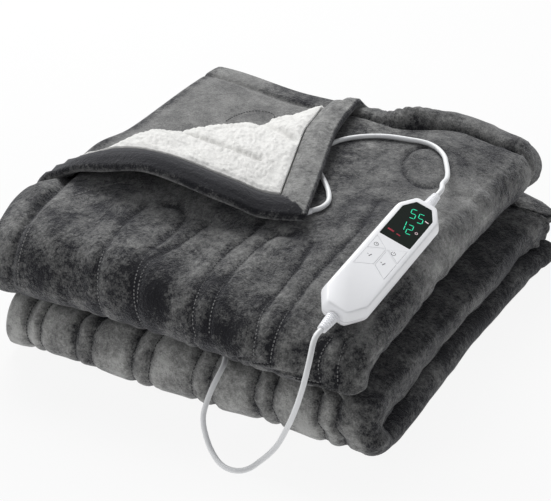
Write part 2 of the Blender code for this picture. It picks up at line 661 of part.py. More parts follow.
def ribbed_sleeve():
    """A strain relief along +Z: a flattened sleeve with ribs, tapering to the cord."""
    rings = []
    for i in range(2 * RIBS + 1):
        height = RELIEF_LENGTH * i / (2 * RIBS)
        size = 1.0 - 0.28 * i / (2 * RIBS) - (0.16 if i % 2 and i < 2 * RIBS else 0.0)
        ring = []
        for j in range(12):
            turn = 2 * math.pi * j / 12
            ring.append((RELIEF_HALF_X * size * math.cos(turn), RELIEF_HALF_Z * size * math.sin(turn)))
        rings.append((ring, height))
    return loft(rings)


def smooth_route(points, step):
    """Places at even steps along one smooth curve through the points."""
    knots = [Vector(p) for p in points]
    knots = [2 * knots[0] - knots[1]] + knots + [2 * knots[-1] - knots[-2]]
    fine = []
    for p0, p1, p2, p3 in zip(knots, knots[1:], knots[2:], knots[3:]):
        for i in range(24):
            fine.append(spline_point(p0, p1, p2, p3, i / 24))
    fine.append(knots[-2])
    lengths = [0.0]
    for a, b in zip(fine, fine[1:]):
        lengths.append(lengths[-1] + (b - a).length)
    count = max(2, round(lengths[-1] / step))
    places = np.interp(np.linspace(0.0, lengths[-1], count + 1), lengths, range(len(fine)))
    return [fine[int(p)].lerp(fine[min(int(p) + 1, len(fine) - 1)], p % 1.0) for p in places]


def spline_point(p0, p1, p2, p3, share):
    """A centripetal Catmull-Rom curve from p1 to p2."""
    k = [0.0]
    for a, b in ((p0, p1), (p1, p2), (p2, p3)):
        k.append(k[-1] + max((b - a).length, 1e-6) ** 0.5)
    u = k[1] + share * (k[2] - k[1])
    a1 = p0 * ((k[1] - u) / (k[1] - k[0])) + p1 * ((u - k[0]) / (k[1] - k[0]))
    a2 = p1 * ((k[2] - u) / (k[2] - k[1])) + p2 * ((u - k[1]) / (k[2] - k[1]))
    a3 = p2 * ((k[3] - u) / (k[3] - k[2])) + p3 * ((u - k[2]) / (k[3] - k[2]))
    b1 = a1 * ((k[2] - u) / (k[2] - k[0])) + a2 * ((u - k[0]) / (k[2] - k[0]))
    b2 = a2 * ((k[3] - u) / (k[3] - k[1])) + a3 * ((u - k[1]) / (k[3] - k[1]))
    return b1 * ((k[2] - u) / (k[2] - k[1])) + b2 * ((u - k[1]) / (k[2] - k[1]))


def in_model(point):
    """A point given from the stack's front left corner, in the part's own frame."""
    return Vector(point) - Vector((CENTRE_X, CENTRE_Y, 0.0))


def relief_exit(end, beyond):
    """A point on the axis of a strain relief, beyond its far end, from the stack's front left corner."""
    reach = FACE_HALF_LENGTH + SKIRT + SEAT + RELIEF_LENGTH + beyond
    turn = Euler([math.radians(angle) for angle in CONTROLLER_TURN]).to_matrix()
    return tuple(Vector(CONTROLLER_AT) + turn @ Vector((0.0, end * reach, RELIEF_AXIS)))


def gland_exit(beyond):
    """A point on the gland's axis, beyond its mouth, from the stack's front left corner."""
    mouth = Vector(GLAND_MOUTH)
    return tuple(mouth + (mouth - Vector(GLAND_ROOT)).normalized() * beyond)


def build_cord(name, route, material):
    """A round cord along its route, which is given by hand from the stack's front left corner."""
    curve = bpy.data.curves.new(name, "CURVE")
    curve.dimensions = "3D"
    line = curve.splines.new("POLY")
    places = smooth_route([in_model(point) for point in route], CORD_STEP)
    line.points.add(len(places) - 1)
    for point, place in zip(line.points, places):
        point.co = (*place, 1.0)
    curve.bevel_depth = CORD_RADIUS
    curve.bevel_resolution = 2
    curve.use_fill_caps = True
    return link(bpy.data.objects.new(name, curve), material)


def build_gland(material):
    """The tapered sleeve that the cord enters the throw by, under the tip of the turned corner."""
    root = in_model(GLAND_ROOT)
    axis = in_model(GLAND_MOUTH) - root
    rings = []
    for share, size in ((0.0, 0.80), (0.08, 1.0), (0.45, 1.0), (0.55, 0.90), (1.0, 0.90)):
        rings.append((rounded(GLAND_HALF_X * size ** 3, GLAND_HALF_Z * size ** 0.5, 2.5), share * axis.length))
    gland = to_object("cord_gland", loft(rings), material)
    gland.location = root
    gland.rotation_euler = axis.to_track_quat("Z", "Y").to_euler()
    return gland


def build_coil(material):
    """The wound spare length, as one turned ring that lies on the floor."""
    profile = []
    for i in range(12):
        turn = -2 * math.pi * i / 12
        profile.append((COIL_RADIUS + COIL_HALF_WIDTH * math.cos(turn),
                        COIL_HALF_HEIGHT * (1.0 + math.sin(turn))))
    mesh = bpy.data.meshes.new("cord_coil")
    mesh.from_pydata([(r, 0.0, z) for r, z in profile], [(i, (i + 1) % 12) for i in range(12)], [])
    coil = link(bpy.data.objects.new("cord_coil", mesh), material)
    turned = coil.modifiers.new("turned", "SCREW")
    turned.steps = turned.render_steps = COIL_SEGMENTS
    turned.use_merge_vertices = True
    turned.merge_threshold = 1e-5
    coil.location = in_model((*COIL_AT, 0.0))
    return coil


def build_plug(shell, metal):
    """The plug at the cord's far end: a moulded body with its own tapered relief, and two flat blades."""
    frame = bpy.data.objects.new("plug_frame", None)
    PARTS.objects.link(frame)
    frame.location = in_model(PLUG_LEAD[-1]) + Vector((0.0, 2 * SEAT, 0.0))
    frame.rotation_euler = (math.pi / 2, 0.0, math.pi)
    relief = [(rounded(size, size, 2.0), z) for size, z in ((0.0032, 0.0), (0.0042, PLUG_RELIEF))]
    sizes = ((0.70, 0.0015), (1.0, 0.0060), (1.0, 0.0250), (0.92, 0.0280))
    body = [(rounded(PLUG_HALF_X * size, PLUG_HALF_Y * size, 4.0), PLUG_RELIEF + z) for size, z in sizes]
    to_object("mains_plug", loft(relief + body), shell, frame)
    for side in (-1.0, 1.0):
        x = side * BLADE_APART / 2
        corners = ((-1, -1), (1, -1), (1, 1), (-1, 1))
        outline = [(x + BLADE_HALF_X * a, BLADE_HALF_Y * b) for a, b in corners]
        name = "left_blade" if side < 0 else "right_blade"
        foot = PLUG_LENGTH + SEAT
        to_object(name, plate(outline, foot, foot + BLADE_LENGTH), metal, frame)


def rounded(half_x, half_y, power):
    """A closed outline between an ellipse (power 2) and a rectangle (high power)."""
    found = []
    for i in range(16):
        turn = 2 * math.pi * i / 16
        across, up = math.cos(turn), math.sin(turn)
        found.append((half_x * math.copysign(abs(across) ** (2 / power), across),
                      half_y * math.copysign(abs(up) ** (2 / power), up)))
    return found


for old in list(bpy.data.objects):
    bpy.data.objects.remove(old, do_unlink=True)
PARTS = bpy.data.collections.new("heated_blanket")
CUTTERS = bpy.data.collections.new("cutters")
bpy.context.scene.collection.children.link(PARTS)
bpy.context.scene.collection.children.link(CUTTERS)
FLANNEL = principled("grey_flannel", (0.075, 0.075, 0.080), 0.9)
PILE = principled("white_pile", (0.82, 0.81, 0.79), 0.95)
SHELL = principled("white_plastic", (0.80, 0.81, 0.83), 0.35)
GLASS = principled("dark_window", (0.01, 0.012, 0.012), 0.12)
CORD_WHITE = principled("white_cord", (0.78, 0.79, 0.80), 0.5)
BLADE_METAL = principled("plug_metal", (0.78, 0.72, 0.55), 0.3, 1.0)
build_cloth(FLANNEL)
build_pile(PILE)
build_controller(SHELL, GLASS)
build_gland(SHELL)
throw_start = [relief_exit(1.0, SEAT), relief_exit(1.0, STRAIGHT)]
throw_route = throw_start + [*THROW_LEAD, gland_exit(STRAIGHT), gland_exit(2 * SEAT)]
build_cord("throw_lead", throw_route, CORD_WHITE)
mains_start = [relief_exit(-1.0, SEAT), relief_exit(-1.0, STRAIGHT)]
build_cord("mains_lead", mains_start + [*MAINS_LEAD], CORD_WHITE)
build_coil(CORD_WHITE)
build_cord("plug_lead", PLUG_LEAD, CORD_WHITE)
build_plug(SHELL, BLADE_METAL)
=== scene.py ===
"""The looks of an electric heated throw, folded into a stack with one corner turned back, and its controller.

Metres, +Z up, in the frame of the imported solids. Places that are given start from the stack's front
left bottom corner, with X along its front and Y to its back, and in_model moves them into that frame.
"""

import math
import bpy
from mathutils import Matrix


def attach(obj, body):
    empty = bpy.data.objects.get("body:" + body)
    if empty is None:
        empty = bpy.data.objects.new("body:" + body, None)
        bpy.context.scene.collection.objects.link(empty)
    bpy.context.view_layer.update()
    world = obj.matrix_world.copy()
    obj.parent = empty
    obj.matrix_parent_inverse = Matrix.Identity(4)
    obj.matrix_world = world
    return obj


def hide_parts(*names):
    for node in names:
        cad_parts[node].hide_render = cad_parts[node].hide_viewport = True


bl_info = {
    "name": "Folded heated throw",
    "version": (1, 0, 0),
    "blender": (4, 5, 0),
    "location": "3D View > Sidebar > Heated throw",
    "description": "Makes the cloth, pile, stitching, controller, cords and studio of a folded heated throw",
    "category": "Add Mesh",
}

import bmesh
import bpy
import numpy as np
from bpy.props import FloatProperty, FloatVectorProperty, IntProperty, PointerProperty
from mathutils import Euler, Matrix, Vector

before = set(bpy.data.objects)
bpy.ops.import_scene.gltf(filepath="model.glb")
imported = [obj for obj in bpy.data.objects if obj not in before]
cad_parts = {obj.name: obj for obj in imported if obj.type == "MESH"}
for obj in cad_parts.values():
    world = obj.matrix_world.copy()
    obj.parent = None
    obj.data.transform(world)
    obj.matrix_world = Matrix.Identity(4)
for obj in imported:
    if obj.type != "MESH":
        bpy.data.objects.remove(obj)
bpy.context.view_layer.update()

# The stack, before it settles
FOLD_WIDTH = 0.400
FRONT_Y = -0.022
BACK_Y = 0.428
TOP_HEM_Y = 0.410
BOTTOM_HEM_Y = 0.404
LAYER = 0.0095
GAP = 0.0018
PITCH = LAYER + GAP
PACK = 3 * PITCH
CENTRE_X = 0.1977
CENTRE_Y = 0.1983

# The letter fold: panel a (hem inside), left fold, panel b, right fold, panel c (hem at the left)
LEFT_INNER = GAP / 2
RIGHT_INNER = PITCH - LAYER / 2
X_LEFT = LEFT_INNER + LAYER
X_RIGHT = FOLD_WIDTH - RIGHT_INNER - LAYER
A_HEM_X = X_RIGHT - 0.002
C_HEM_X = 0.004
LEFT_ARC = math.pi * (LEFT_INNER + LAYER / 2)
RIGHT_ARC = math.pi * (RIGHT_INNER + LAYER / 2)
S_A = A_HEM_X - X_LEFT
S_B = S_A + LEFT_ARC
S_BR = S_B + X_RIGHT - X_LEFT
S_C = S_BR + RIGHT_ARC
S_END = S_C + X_RIGHT - C_HEM_X

# The length fold: section 1 (top), front fold, 2, back fold, 3, front fold, 4 (bottom)
Y_FRONT = FRONT_Y + PACK - GAP / 2
Y_BACK = BACK_Y - PACK + GAP / 2
NOSE_ARC = math.pi * PACK / 2
RUN = Y_BACK - Y_FRONT
T_1 = TOP_HEM_Y - Y_FRONT
T_2 = T_1 + NOSE_ARC
T_2E = T_2 + RUN
T_3 = T_2E + NOSE_ARC
T_3E = T_3 + RUN
T_4 = T_3E + NOSE_ARC
T_END = T_4 + BOTTOM_HEM_Y - Y_FRONT

# The corner that is turned back, and how far the hems are drawn in
FOLD_START = (0.004, 0.076)
FOLD_ANGLE = math.radians(54.5)
FOLD_ALONG = np.array((math.cos(FOLD_ANGLE), math.sin(FOLD_ANGLE)))
FOLD_OUT = np.array((-FOLD_ALONG[1], FOLD_ALONG[0]))
ROLL = 0.010
ROLL_START = 0.0064
TIP_RISE = 0.0165
BACK_PULL = 0.054
GATHER_PULL = 0.024
GATHER_X = 0.258
STAND_FROM = 0.371
STAND_RISE = (0.002, 0.013)
SIDE_PULL = 0.075
PULL_FROM = 0.150
PULL_TO = 0.365
PILE_TUCK = -0.012
PILE_STEP = 0.0016
PILE_FLOOR = 0.0045
SEAT = 0.0003

# How the stack settles
IDEAL_HEIGHT = (0.0, PACK, 2 * PACK, 3 * PACK, 4 * PACK - GAP)
REAL_HEIGHT = (0.0, 0.0265, 0.0625, 0.1010, 0.1425)
RIGHT_LEVEL = (0.010, 0.024, 0.032, 0.055, 0.067, 0.090, 0.102, 0.140)
RIGHT_EDGE = (0.008, 0.008, -0.001, -0.001, -0.044, -0.044, -0.012, -0.012)

# How far the settled stack gives way: outwards at its sides, down where it slumps, up where it is pushed
LEFT_LEAN = 0.008
LEFT_BULGE = (0.010, 0.013)
REAR_SPREAD = 0.010
FRONT_SPREAD = 0.008
RIGHT_SLUMP = 0.020
FRONT_SLUMP = 0.034
CORNER_SLUMP = 0.012
REAR_RISE = 0.004
LEFT_PUFF = 0.010
TIP_HUMP = 0.008
CONTROLLER_HUMP = 0.008
WAVES = (0.010, 0.0022, 0.0015)

# The sewn channels: pairs of lines a rib apart, along the whole blanket
CHANNEL_FIRST = 0.026
CHANNEL_PITCH = 0.064
CHANNEL_RIB = 0.0185
CHANNEL_PAIRS = 6
CHANNEL_WIDTH = 0.0044
UPPER_CHANNEL = 0.0010
TRENCH = 0.0030

# The grey face: its sewn lines and seams, the puff of hidden hems, the wrinkles of the right rear wrap
# (depth, length), and the back hem's pleats (depth, length, middle and reach in x) and gathers at the seam
SEWN_WIDTH = 0.0038
SEAM_WIDTH = 0.0032
HIDDEN_PUFF = 0.0006
WRAP_WRINKLES = (0.0022, 0.0036)
PLEATS = (0.0013, 0.0094, 0.245, 0.030)
GATHERS = 0.0022

# Sewn lines that show on the top and the upper front, as flat places (x, y): y runs on down the front fold
SEWN_LINES = {
    "first": ((0.110, 0.080), (0.110, 0.050), (0.113, 0.030), (0.120, 0.004), (0.127, -0.016),
              (0.131, -0.040)),
    "hook": ((0.128, 0.092), (0.141, 0.094), (0.152, 0.084), (0.156, 0.066), (0.156, 0.016), (0.162, -0.004),
             (0.170, -0.020), (0.174, -0.040)),
    "hook_rear": ((0.178, 0.084), (0.170, 0.036), (0.164, 0.008), (0.168, -0.010)),
    "tip": ((0.226, 0.112), (0.222, 0.076), (0.217, 0.048), (0.222, 0.010), (0.228, -0.008), (0.236, -0.020),
            (0.240, -0.040)),
    "tip_rear": ((0.262, 0.100), (0.250, 0.098), (0.243, 0.086), (0.238, 0.040), (0.240, 0.012),
                 (0.248, -0.012)),
    "middle": ((0.288, 0.096), (0.291, 0.060), (0.291, 0.030), (0.290, 0.008), (0.296, -0.006),
               (0.300, -0.040)),
    "long": ((0.310, 0.196), (0.320, 0.150), (0.320, 0.120), (0.316, 0.088), (0.312, 0.048), (0.312, 0.012),
             (0.316, -0.010), (0.318, -0.040)),
    "right": ((0.362, 0.012), (0.360, 0.000), (0.362, -0.008), (0.370, -0.022), (0.372, -0.040)),
    "right_rear": ((0.374, 0.010), (0.378, -0.002), (0.382, -0.012), (0.384, -0.024)),
}

# The sewn ring behind the controller and a row of stitches beside the turned corner's start, both as flat
# (x, y), and two hairpins of stitches as (s, t)
PATCH_CENTRE = (0.318, 0.288)
PATCH_RADIUS = (0.0225, 0.0455)
PATCH_TURN = math.radians(24.0)
HEM_ROW = ((0.0400, -0.0200), (0.0385, 0.0100), (0.0400, 0.0400), (0.0560, 0.0760), (0.0760, 0.1080),
           (0.0960, 0.1320))
SIDE_HAIRPIN = ((0.7905, 1.0700), (0.7855, 1.0830), (0.7780, 1.0890), (0.7720, 1.1050), (0.7690, 1.1350),
                (0.7680, 1.1800), (0.7680, 1.2350))
MIDDLE_HAIRPIN = ((0.3080, 0.1130), (0.3065, 0.0950), (0.2990, 0.0750), (0.2880, 0.0660), (0.2760, 0.0670),
                  (0.2700, 0.0790), (0.2720, 0.0930))

# How the turned corner stands off the top: an arch along its side hem (middle, reach before and after it).
# The layers under its left edge are raised, its start is pressed down, and its fold's crest is flattened.
ARCH = 0.0235
ARCH_AT = (0.212, 0.072, 0.132)
ARCH_ACROSS = 0.080
EDGE_LIFT = 0.0075
START_DROP = 0.0120
FLAT_CREST = 0.0055

# The white pile's crest and grooves: (a, height) along the fold line, and grooves as (a, u) lines
CREST = ((0.00, 0.0), (0.05, -0.006), (0.08, -0.006), (0.105, -0.003), (0.137, -0.001), (0.177, 0.0040),
         (0.2135, 0.0005), (0.2235, -0.002), (0.234, -0.0120), (0.2445, -0.0045), (0.26, -0.003),
         (0.2815, -0.004), (0.30, -0.0015))
GROOVES = (((0.1435, 0.0347), (0.1644, 0.0811), (0.1830, 0.1177)),
           ((0.2261, 0.0300), (0.2392, 0.0967), (0.2468, 0.1082)))
GROOVE_DEPTH = 0.0080
GROOVE_WIDTH = 0.0050

# The pile's mesh: its step, how far it reaches from the two hems, and the size of the curls on the curls
PILE_MESH = 0.0013
PILE_REACH = (0.30, 0.36)
FINE_CURL = 0.0023

# The cloth's rim: how far out and at what share of the thickness, and the painted light on its rings on the
# turned corner up to a t: a painted highlight next to the grey face, fading to painted shade next to the
# white face
RIM_RINGS = ((0.0022, 0.86), (0.0034, 0.50), (0.0022, 0.14))
RIM_PAINTED_LIGHT = (0.62, 0.12, -0.12)
RIM_PAINTED_LIGHT_TO = 0.34

# The grey face's tone by place, 0 dark to 1 light, as a tone or as what it adds to one: mostly painted light
# and shade (painted sheen on the middle panel, top, ribs, crest and back hem; painted shade on the nose,
# front left, channels, seams, sewn lines and the right fold's back), with the nap's random clouds and mottle
NAP_AND_PAINTED_LIGHT = {
    "folds": 0.26, "right_fold": 0.18, "right_fold_back_shade": -0.32,
    "middle": 0.66, "middle_spot": -0.30, "middle_hem": -0.38,
    "top": 0.07, "top_right": 0.04, "front_right": 0.16, "front_left": -0.14, "far_right": 0.24,
    "nose": -0.04, "nose_left": -0.18, "crest": 0.30,
    "ribs": 0.75, "ribs_right": 0.03, "channels": -0.66, "ribs_mottle": 0.20,
    "seams": -0.30, "back_hem": 0.06, "back_hem_right": 0.24, "sewn": -0.42, "clouds": 0.50,
}

# The white face starts a little inside the turned hem. The grey tone uses this share of its ramp of colours,
# and the rest of the ramp for its brightest painted highlights
WHITE_INSET = 0.0012
NAP_SHARE = 0.67

# Soft troughs and ridges on the top and the upper front: flat (x, y) of both ends, half width, height
TOP_CREASES = (
    (0.060, 0.070, 0.110, -0.030, 0.016, -0.0022),
    (0.190, 0.060, 0.200, -0.036, 0.014, -0.0020),
    (0.265, 0.060, 0.268, -0.036, 0.012, -0.0016),
    (0.335, 0.040, 0.345, -0.036, 0.011, -0.0018),
    (0.140, 0.050, 0.142, -0.020, 0.012, 0.0014),
    (0.030, 0.010, 0.110, -0.010, 0.010, -0.0012),
    (0.270, 0.225, 0.350, 0.190, 0.016, -0.0014),
    (0.345, 0.330, 0.395, 0.150, 0.014, -0.0016),
    (0.385, 0.380, 0.330, 0.372, 0.010, -0.0012),
    (0.372, 0.300, 0.380, 0.200, 0.008, 0.0012),
    (0.300, 0.345, 0.350, 0.350, 0.012, 0.0010),
)

# The hand controller: the middle of its face, how it lies, and its sizes in its own frame (long way = Y)
CONTROLLER_AT = (0.3564, 0.0903, 0.1503)
CONTROLLER_TURN = (9.7, 17.8, 0.0)
FACE_HALF_LENGTH = 0.0840
FACE_HALF_WIDTH = 0.0202
FACE_CHAMFER = 0.0177
FACE_END_HALF = 0.0102
SKIRT = 0.0035
THICKNESS = 0.0190
PARTING = -0.0100
WINDOW = ((-0.0158, 0.0197), (0.0158, 0.0197), (0.0158, 0.0649), (0.0080, 0.0782), (-0.0080, 0.0782),
          (-0.0158, 0.0649))
WINDOW_DEPTH = 0.0020
UPPER_KEY = ((-0.0155, -0.0037), (-0.0018, 0.0056), (-0.0155, 0.0151))
LOWER_KEY = ((-0.0155, -0.0287), (-0.0009, -0.0186), (-0.0009, 0.0043), (-0.0155, -0.0056))
KEY_DEPTH = 0.0012
WINDOW_CORNER = 0.0012

# Its figures: each one's middle and lit bars. Its marks and the keys' signs: bars (x, y, x, y, width) and
# rings (x, y, outer, inner radius, and from and to which angle)
FIGURES = (((-0.0030, 0.0620), "afgcd"), ((0.0054, 0.0610), "afgcd"), ((-0.0042, 0.0430), "bc"),
           ((0.0040, 0.0416), "abged"))
FIGURE_SIZE = (0.0050, 0.0122)
FIGURE_TURN = math.radians(13.0)
MARK_DEPTH = 0.0002
RED_BARS = ((-0.0125, 0.0300, -0.0061, 0.0296, 0.0019), (-0.0030, 0.0289, 0.0010, 0.0285, 0.0012))
PALE_BAR = (0.0100, 0.0612, 0.0138, 0.0606, 0.0010)
PALE_RING = (0.0111, 0.0415, 0.0014, 0.0010)
PRINT_HEIGHT = 0.00016
KEY_RINGS = ((-0.0108, 0.0046, 0.0023, 0.0018), (0.0072, 0.0044, 0.0023, 0.0018, -235.0, 55.0))
KEY_BARS = (
    (-0.0108, 0.0046, -0.0108, 0.0060, 0.0005), (-0.0108, 0.0046, -0.0097, 0.0046, 0.0005),
    (0.0072, 0.0048, 0.0072, 0.0070, 0.0005),
    (-0.0118, -0.0110, -0.0102, -0.0110, 0.0004), (-0.0090, -0.0128, -0.0078, -0.0094, 0.0009),
    (0.0030, -0.0125, 0.0046, -0.0125, 0.0004), (0.0038, -0.0133, 0.0038, -0.0117, 0.0004),
    (0.0060, -0.0145, 0.0072, -0.0111, 0.0009),
)

# The strain reliefs at its ends
RELIEF_LENGTH = 0.0200
RELIEF_HALF_X = 0.0056
RELIEF_HALF_Z = 0.0042
RELIEF_AXIS = -0.0092
RELIEF_SWELL = 1.06
RELIEF_TAPER = 0.30
RELIEF_GROOVE = 0.36
RELIEF_STEPS = 8
ROUND_STEPS = 32
SHARP_ANGLE = 32.0
CUTTER_TOP = 0.004

# The cord's route, as listed points: from the controller's upper end to the throw, and from its lower end to
# the coil
CORD_RADIUS = 0.0025
CORD_STEP = 0.0040
STRAIGHT = 0.0110
GLAND_MOUTH = (0.2570, 0.1400, 0.1446)
GLAND_ROOT = (0.2430, 0.1195, 0.1432)
GLAND_HALF_X = 0.0046
GLAND_HALF_Z = 0.0029
THROW_LEAD = (
    (0.3542, 0.2240, 0.1590), (0.3500, 0.2440, 0.1545), (0.3420, 0.2660, 0.1498),
    (0.3300, 0.2910, 0.1466), (0.3200, 0.3085, 0.1455), (0.3065, 0.3215, 0.1456),
    (0.2960, 0.3250, 0.1466), (0.2861, 0.3245, 0.1473), (0.2760, 0.3220, 0.1479),
    (0.2627, 0.3190, 0.1486), (0.2512, 0.3150, 0.1490), (0.2377, 0.3080, 0.1490),
    (0.2255, 0.2985, 0.1488), (0.2145, 0.2850, 0.1484), (0.2090, 0.2680, 0.1477),
    (0.2100, 0.2480, 0.1470), (0.2180, 0.2290, 0.1465), (0.2300, 0.2120, 0.1461),
    (0.2440, 0.1955, 0.1458), (0.2560, 0.1790, 0.1455), (0.2635, 0.1630, 0.1454),
)
MAINS_LEAD = (
    (0.3500, -0.0400, 0.1085), (0.3488, -0.0490, 0.0870), (0.3440, -0.0540, 0.0640),
    (0.3375, -0.0560, 0.0450), (0.3282, -0.0607, 0.0235), (0.3165, -0.0690, 0.0095),
    (0.3085, -0.0770, 0.0038), (0.2985, -0.0820, 0.0029), (0.2865, -0.0805, 0.0031),
    (0.2713, -0.0719, 0.0067), (0.2613, -0.0652, 0.0160), (0.2547, -0.0586, 0.0290),
    (0.2531, -0.0470, 0.0420), (0.2535, -0.0345, 0.0530), (0.2525, -0.0200, 0.0590),
    (0.2480, -0.0070, 0.0600), (0.2405, 0.0035, 0.0605), (0.2295, 0.0096, 0.0609),
    (0.2150, 0.0112, 0.0612), (0.2000, 0.0112, 0.0614), (0.1500, 0.0112, 0.0616),
    (0.0900, 0.0112, 0.0618), (0.0300, 0.0112, 0.0618),
    (0.0080, 0.0115, 0.0615), (-0.0090, 0.0130, 0.0600), (-0.0195, 0.0190, 0.0545),
    (-0.0235, 0.0310, 0.0430), (-0.0240, 0.0430, 0.0290), (-0.0240, 0.0560, 0.0165),
    (-0.0240, 0.0720, 0.0078), (-0.0238, 0.0940, 0.0038), (-0.0232, 0.1260, 0.0029),
    (-0.0222, 0.1560, 0.0029), (-0.0210, 0.1860, 0.0029), (-0.0205, 0.2315, 0.0029),
)
COIL_AT = (-0.0543, 0.2500)
COIL_RADIUS = 0.0285
COIL_SPACING = 0.0053
COIL_ROWS = (0.0027, 0.0078)
COIL_STEPS = 36
SPLINE_STEPS = 24
TIE_HALF_WIDTH = 0.006
TIE_HALF_X = 0.0092
TIE_HALF_Z = 0.0064
TIE_THICK = 0.0010
TIE_STEPS = 40
PLUG_LEAD = ((-0.0205, 0.2686, 0.0040), (-0.0208, 0.2960, 0.0062), (-0.0222, 0.3150, 0.0088))
PLUG_HALF_X = 0.0125
PLUG_HALF_Y = 0.0085
PLUG_RELIEF = 0.0220

# The photograph's view
CAMERA_AT = (0.8681, -1.0476, 0.8438)
CAMERA_AIM = (0.189381, 0.194196, 0.057360)
CAMERA_LENS = 104.54
CAMERA_SENSOR = 36.0

NOISE = np.random.default_rng(11).uniform(-1.0, 1.0, (64, 64))


class ThrowLooks(bpy.types.PropertyGroup):
    """Sizes and colours of the cloth and its pile."""

    hem: FloatProperty(name="Hem width", description="From the edge to its seam", default=0.028,
                       unit="LENGTH")
    hem_puff: FloatProperty(name="Hem puff", description="How far a hem stands proud", default=0.0026,
                            unit="LENGTH")
    seam: FloatProperty(name="Seam depth", description="Depth of the groove beside a hem", default=0.0034,
                        unit="LENGTH")
    channel: FloatProperty(name="Channel depth", description="Depth of the channels on the lower front fold",
                           default=0.0040, unit="LENGTH")
    sewn: FloatProperty(name="Sewn line depth", description="Depth of the sewn lines on the top",
                        default=0.0020, unit="LENGTH")
    stitch: FloatProperty(name="Stitch", description="Length of one stitch", default=0.0024, unit="LENGTH")
    stitch_pitch: FloatProperty(name="Stitch pitch", description="From one stitch to the next",
                                default=0.0036, unit="LENGTH")
    pile: FloatProperty(name="Pile height", description="Height of the white curls", default=0.0042,
                        unit="LENGTH")
    curl: FloatProperty(name="Curl size", description="Distance between white curls", default=0.0050,
                        unit="LENGTH")
    # The ends of the grey face's ramp; the nap values between them hold painted light and shade as well as
    # the nap's random mottle.
    dark: FloatVectorProperty(name="Dark nap", description="Colour where the nap lies away", subtype="COLOR",
                              size=3, default=(0.014, 0.014, 0.017))
    light: FloatVectorProperty(name="Light nap", description="Colour where the nap is brushed up",
                               subtype="COLOR", size=3, default=(0.250, 0.250, 0.243))
    white: FloatVectorProperty(name="Pile colour", description="Colour of the white pile", subtype="COLOR",
                               size=3, default=(0.74, 0.735, 0.715))


class ControllerLooks(bpy.types.PropertyGroup):
    """Sizes and colours of the controller, cord and plug."""

    shell: FloatVectorProperty(name="Shell", description="Colour of the white plastic", subtype="COLOR",
                               size=3, default=(0.96, 0.965, 0.985))
    figures: FloatVectorProperty(name="Figures", description="Colour of the lit figures", subtype="COLOR",
                                 size=3, default=(0.02, 0.62, 0.34))
    marks: FloatVectorProperty(name="Marks", description="Colour of the red marks", subtype="COLOR",
                               size=3, default=(0.30, 0.008, 0.03))
    corner: FloatProperty(name="Corner radius", description="Rounding of the outline's corners",
                          default=0.0030, unit="LENGTH")
    ribs: IntProperty(name="Ribs", description="Ribs on each strain relief", default=8)
    coil_turns: IntProperty(name="Coil turns", description="Turns in the wound spare length", default=6)


class StudioLooks(bpy.types.PropertyGroup):
    """The floor and lights."""

    floor: FloatVectorProperty(name="Floor", description="Colour of the floor", subtype="COLOR", size=3,
                               default=(0.96, 0.96, 0.96))
    glow: FloatProperty(name="Floor glow", default=0.94,
                        description="Share of the floor's brightness that is its own light")
    key: FloatProperty(name="Key light", description="Power of the softbox above, in watts", default=48.0)
    fill: FloatProperty(name="Fill light", description="Power of the front fill, in watts", default=8.0)
    air: FloatProperty(name="Surroundings", description="Brightness all round", default=0.34)


def smooth(value):
    """0 below 0, 1 above 1, and an even ramp between."""
    value = np.clip(value, 0.0, 1.0)
    return value * value * (3.0 - 2.0 * value)


def hill(value, reach):
    """1 at 0, falling to both sides over about this far."""
    return np.exp(-((value / reach) ** 2))


def patches(x, y, size, seed=0):
    """Smooth noise between -1 and 1 whose patches are about this size."""
    u = x / size + 17.3 * seed
    v = y / size + 9.1 * seed
    i, j = np.floor(u).astype(int), np.floor(v).astype(int)
    a, b = smooth(u - i), smooth(v - j)
    low = NOISE[i % 64, j % 64] * (1 - a) + NOISE[(i + 1) % 64, j % 64] * a
    high = NOISE[i % 64, (j + 1) % 64] * (1 - a) + NOISE[(i + 1) % 64, (j + 1) % 64] * a
    return low * (1 - b) + high * b


def domes(x, y, size, seed=0):
    """Round curls about this far apart, each a dome between 0 and 1 in height."""
    u, v = x / size, y / size
    i, j = np.floor(u).astype(int), np.floor(v).astype(int)
    best = np.zeros_like(u)
    for di in (-1, 0, 1):
        for dj in (-1, 0, 1):
            a, b = (i + di + 7 * seed) % 64, (j + dj + 5 * seed) % 64
            cx = i + di + 0.5 + 0.45 * NOISE[a, b]
            cy = j + dj + 0.5 + 0.45 * NOISE[b, a]
            tall = 0.75 + 0.25 * NOISE[(a + 31) % 64, b]
            away = ((u - cx) ** 2 + (v - cy) ** 2) / 0.62
            best = np.maximum(best, tall * np.sqrt(np.clip(1.0 - away, 0.0, 1.0)))
    return best


# ---- the folds, which are those of the solids ----

def letter_fold(s, n):
    """Across the blanket: (x, height in the pack of three layers). n runs from the pile face outwards."""
    left = np.clip((s - S_A) / LEFT_ARC, 0.0, 1.0) * math.pi
    right = np.clip((s - S_BR) / RIGHT_ARC, 0.0, 1.0) * math.pi
    x = np.where(s < S_A, X_LEFT + (S_A - s), X_LEFT - (LEFT_INNER + n) * np.sin(left))
    m = LAYER + LEFT_INNER + (LEFT_INNER + n) * np.cos(left)
    x = np.where(s > S_B, X_LEFT + (s - S_B), x)
    on_right = s > S_BR
    x = np.where(on_right, X_RIGHT + (RIGHT_INNER + n) * np.sin(right), x)
    m = np.where(on_right, LAYER + RIGHT_INNER - (RIGHT_INNER + n) * np.cos(right), m)
    x = np.where(s > S_C, X_RIGHT - (s - S_C), x)
    return x, m


